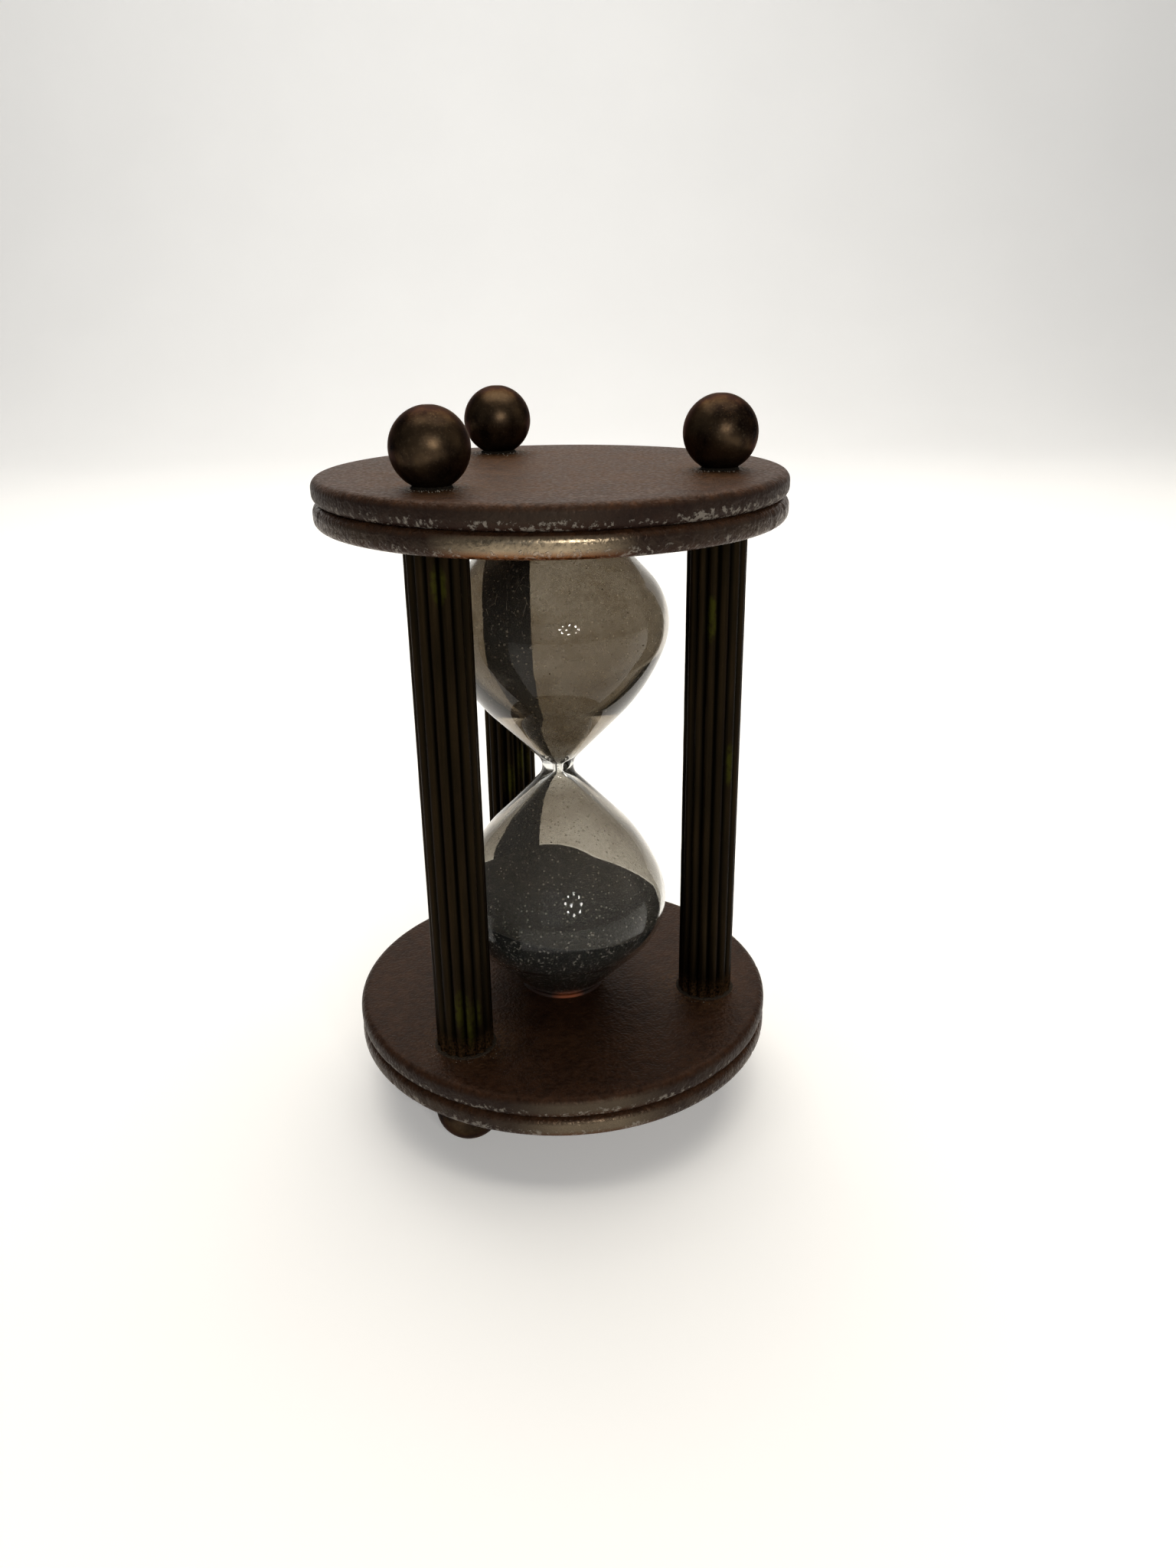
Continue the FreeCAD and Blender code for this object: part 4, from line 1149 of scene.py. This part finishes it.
class HOURGLASS_OT_stage(Operator):
    """Set the pale floor, the soft studio lights and the camera"""

    bl_idname = "hourglass.stage"
    bl_label = "Stage"

    def softbox(self, name, place, target, size, power, shade, shape="SQUARE"):
        """A lamp that shines from place towards target, its size in metres, its power in watts."""
        clear_selection()
        bpy.ops.object.light_add(type="AREA", location=place)
        lamp = bpy.context.object
        lamp.name = name
        lamp.data.shape = shape
        lamp.data.size = size
        lamp.data.energy = power
        lamp.data.color = linear(shade)
        lamp.rotation_euler = (Vector(place) - Vector(target)).to_track_quat("Z", "Y").to_euler()

    def lay_floor(self, colours):
        """A floor that curves up into a backdrop behind the hourglass."""
        clear_selection()
        bpy.ops.mesh.primitive_plane_add(size=5, location=(0, 0, 0))
        floor = bpy.context.object
        floor.name = "floor"
        edit(floor, "EDGE")
        pick(floor, "EDGE", lambda e: all(v.co.y > 2.4 for v in e.verts))
        bpy.ops.mesh.extrude_region_move(TRANSFORM_OT_translate={"value": (0, 0, 2.2)})
        pick(floor, "EDGE", lambda e: all(v.co.y > 2.4 and v.co.z < 0.1 for v in e.verts))
        bpy.ops.mesh.bevel(offset=0.8, segments=12, affect="EDGES")
        take(floor)
        bpy.ops.transform.rotate(
            value=math.radians(20.4), orient_axis="Z", center_override=(0, 0, 0),
        )
        bpy.ops.object.transform_apply(location=True, rotation=True, scale=True)
        bpy.ops.object.shade_smooth_by_angle(angle=math.radians(40))
        floor.data.materials.append(floor_finish(colours))

    def light(self, context):
        """A dim room, four soft lights, and the round lamps that the glass mirrors."""
        world = bpy.data.worlds.new("studio")
        world.use_nodes = True
        context.scene.world = world
        background = world.node_tree.nodes["Background"]
        background.inputs["Color"].default_value = (*linear("#e9e9ea"), 1)
        background.inputs["Strength"].default_value = 0.12
        context.scene.view_settings.view_transform = "Standard"

        self.softbox("overhead", (0.2, 0.35, 1.5), (0, 0, 0.1), 1.8, 28, "#fff9f0")
        self.softbox("front_window", (-0.6, -1.0, 0.5), (0, 0, 0.15), 0.5, 0.35, "#eef3ff")
        self.softbox("right_window", (1.4, -0.5, 0.7), (0, 0, 0.1), 1.0, 1.0, "#fff0d8")
        self.softbox("backdrop_light", (0.25, 1.1, 1.9), (0.8, 2.2, 0.7), 1.2, 14, "#ffffff")
        # a fitting with a ring of round lamps, and one beside its middle
        centre = Vector((-0.111, -1.059, 0.517))
        sideways, upwards = Vector((0.927, -0.374, 0)), Vector((0.12, 0, 0.99)).normalized()
        reach, rise, lamps = 0.18, 0.145, 8
        for i in range(lamps):
            turn = math.tau * i / lamps
            shift = sideways * (reach * math.cos(turn)) + upwards * (rise * math.sin(turn))
            size = (0.052, 0.042, 0.048, 0.040)[i % 4]
            self.softbox(f"lamp_{i}", centre + shift, (0, 0, 0.1), size, 0.5, "#fffdf8", "DISK")
        beside = centre + sideways * -0.055 + upwards * -0.02
        self.softbox("lamp_middle", beside, (0, 0, 0.1), 0.05, 0.4, "#fffdf8", "DISK")

    def place_camera(self, context):
        """A camera held a little above the top plate and looking down past it."""
        clear_selection()
        bpy.ops.object.camera_add(location=(-0.11158, -0.29988, 0.22740))
        camera = bpy.context.object
        camera.name = "camera"
        camera.rotation_mode = "QUATERNION"
        aim, pitch, roll = math.radians(-21.988), math.radians(67.961), math.radians(-0.757)
        camera.rotation_quaternion = (
            Quaternion((0, 0, 1), aim) @ Quaternion((1, 0, 0), pitch) @ Quaternion((0, 0, 1), roll)
        )
        camera.data.lens = 26.57
        camera.data.sensor_width = 36
        camera.data.clip_start = 0.01
        context.scene.camera = camera

    def execute(self, context):
        self.lay_floor(context.scene.hourglass_colours)
        self.light(context)
        self.place_camera(context)
        return {"FINISHED"}


OPERATORS = (
    HOURGLASS_OT_plates,
    HOURGLASS_OT_columns,
    HOURGLASS_OT_balls,
    HOURGLASS_OT_glass,
    HOURGLASS_OT_sand,
    HOURGLASS_OT_seats,
    HOURGLASS_OT_fixings,
    HOURGLASS_OT_dust,
    HOURGLASS_OT_stage,
)


class HOURGLASS_PT_panel(Panel):
    """The hourglass's sizes, colours and operators"""

    bl_label = "Hourglass"
    bl_idname = "HOURGLASS_PT_panel"
    bl_space_type = "VIEW_3D"
    bl_region_type = "UI"
    bl_category = "Hourglass"

    def draw(self, context):
        for operator in OPERATORS:
            self.layout.operator(operator.bl_idname)
        for group in (context.scene.hourglass_sizes, context.scene.hourglass_colours):
            for name in group.bl_rna.properties.keys():
                if name not in ("rna_type", "name"):
                    self.layout.prop(group, name)


CLASSES = (HourglassSizes, HourglassColours, *OPERATORS, HOURGLASS_PT_panel)


def register():
    for kind in CLASSES:
        bpy.utils.register_class(kind)
    bpy.types.Scene.hourglass_sizes = PointerProperty(type=HourglassSizes)
    bpy.types.Scene.hourglass_colours = PointerProperty(type=HourglassColours)


def unregister():
    del bpy.types.Scene.hourglass_colours
    del bpy.types.Scene.hourglass_sizes
    for kind in reversed(CLASSES):
        bpy.utils.unregister_class(kind)


def main():
    register()
    bpy.ops.hourglass.plates()
    bpy.ops.hourglass.columns()
    bpy.ops.hourglass.balls()
    bpy.ops.hourglass.glass()
    bpy.ops.hourglass.sand()
    bpy.ops.hourglass.seats()
    bpy.ops.hourglass.fixings()
    bpy.ops.hourglass.dust()
    bpy.ops.hourglass.stage()


if __name__ == "__main__":
    main()
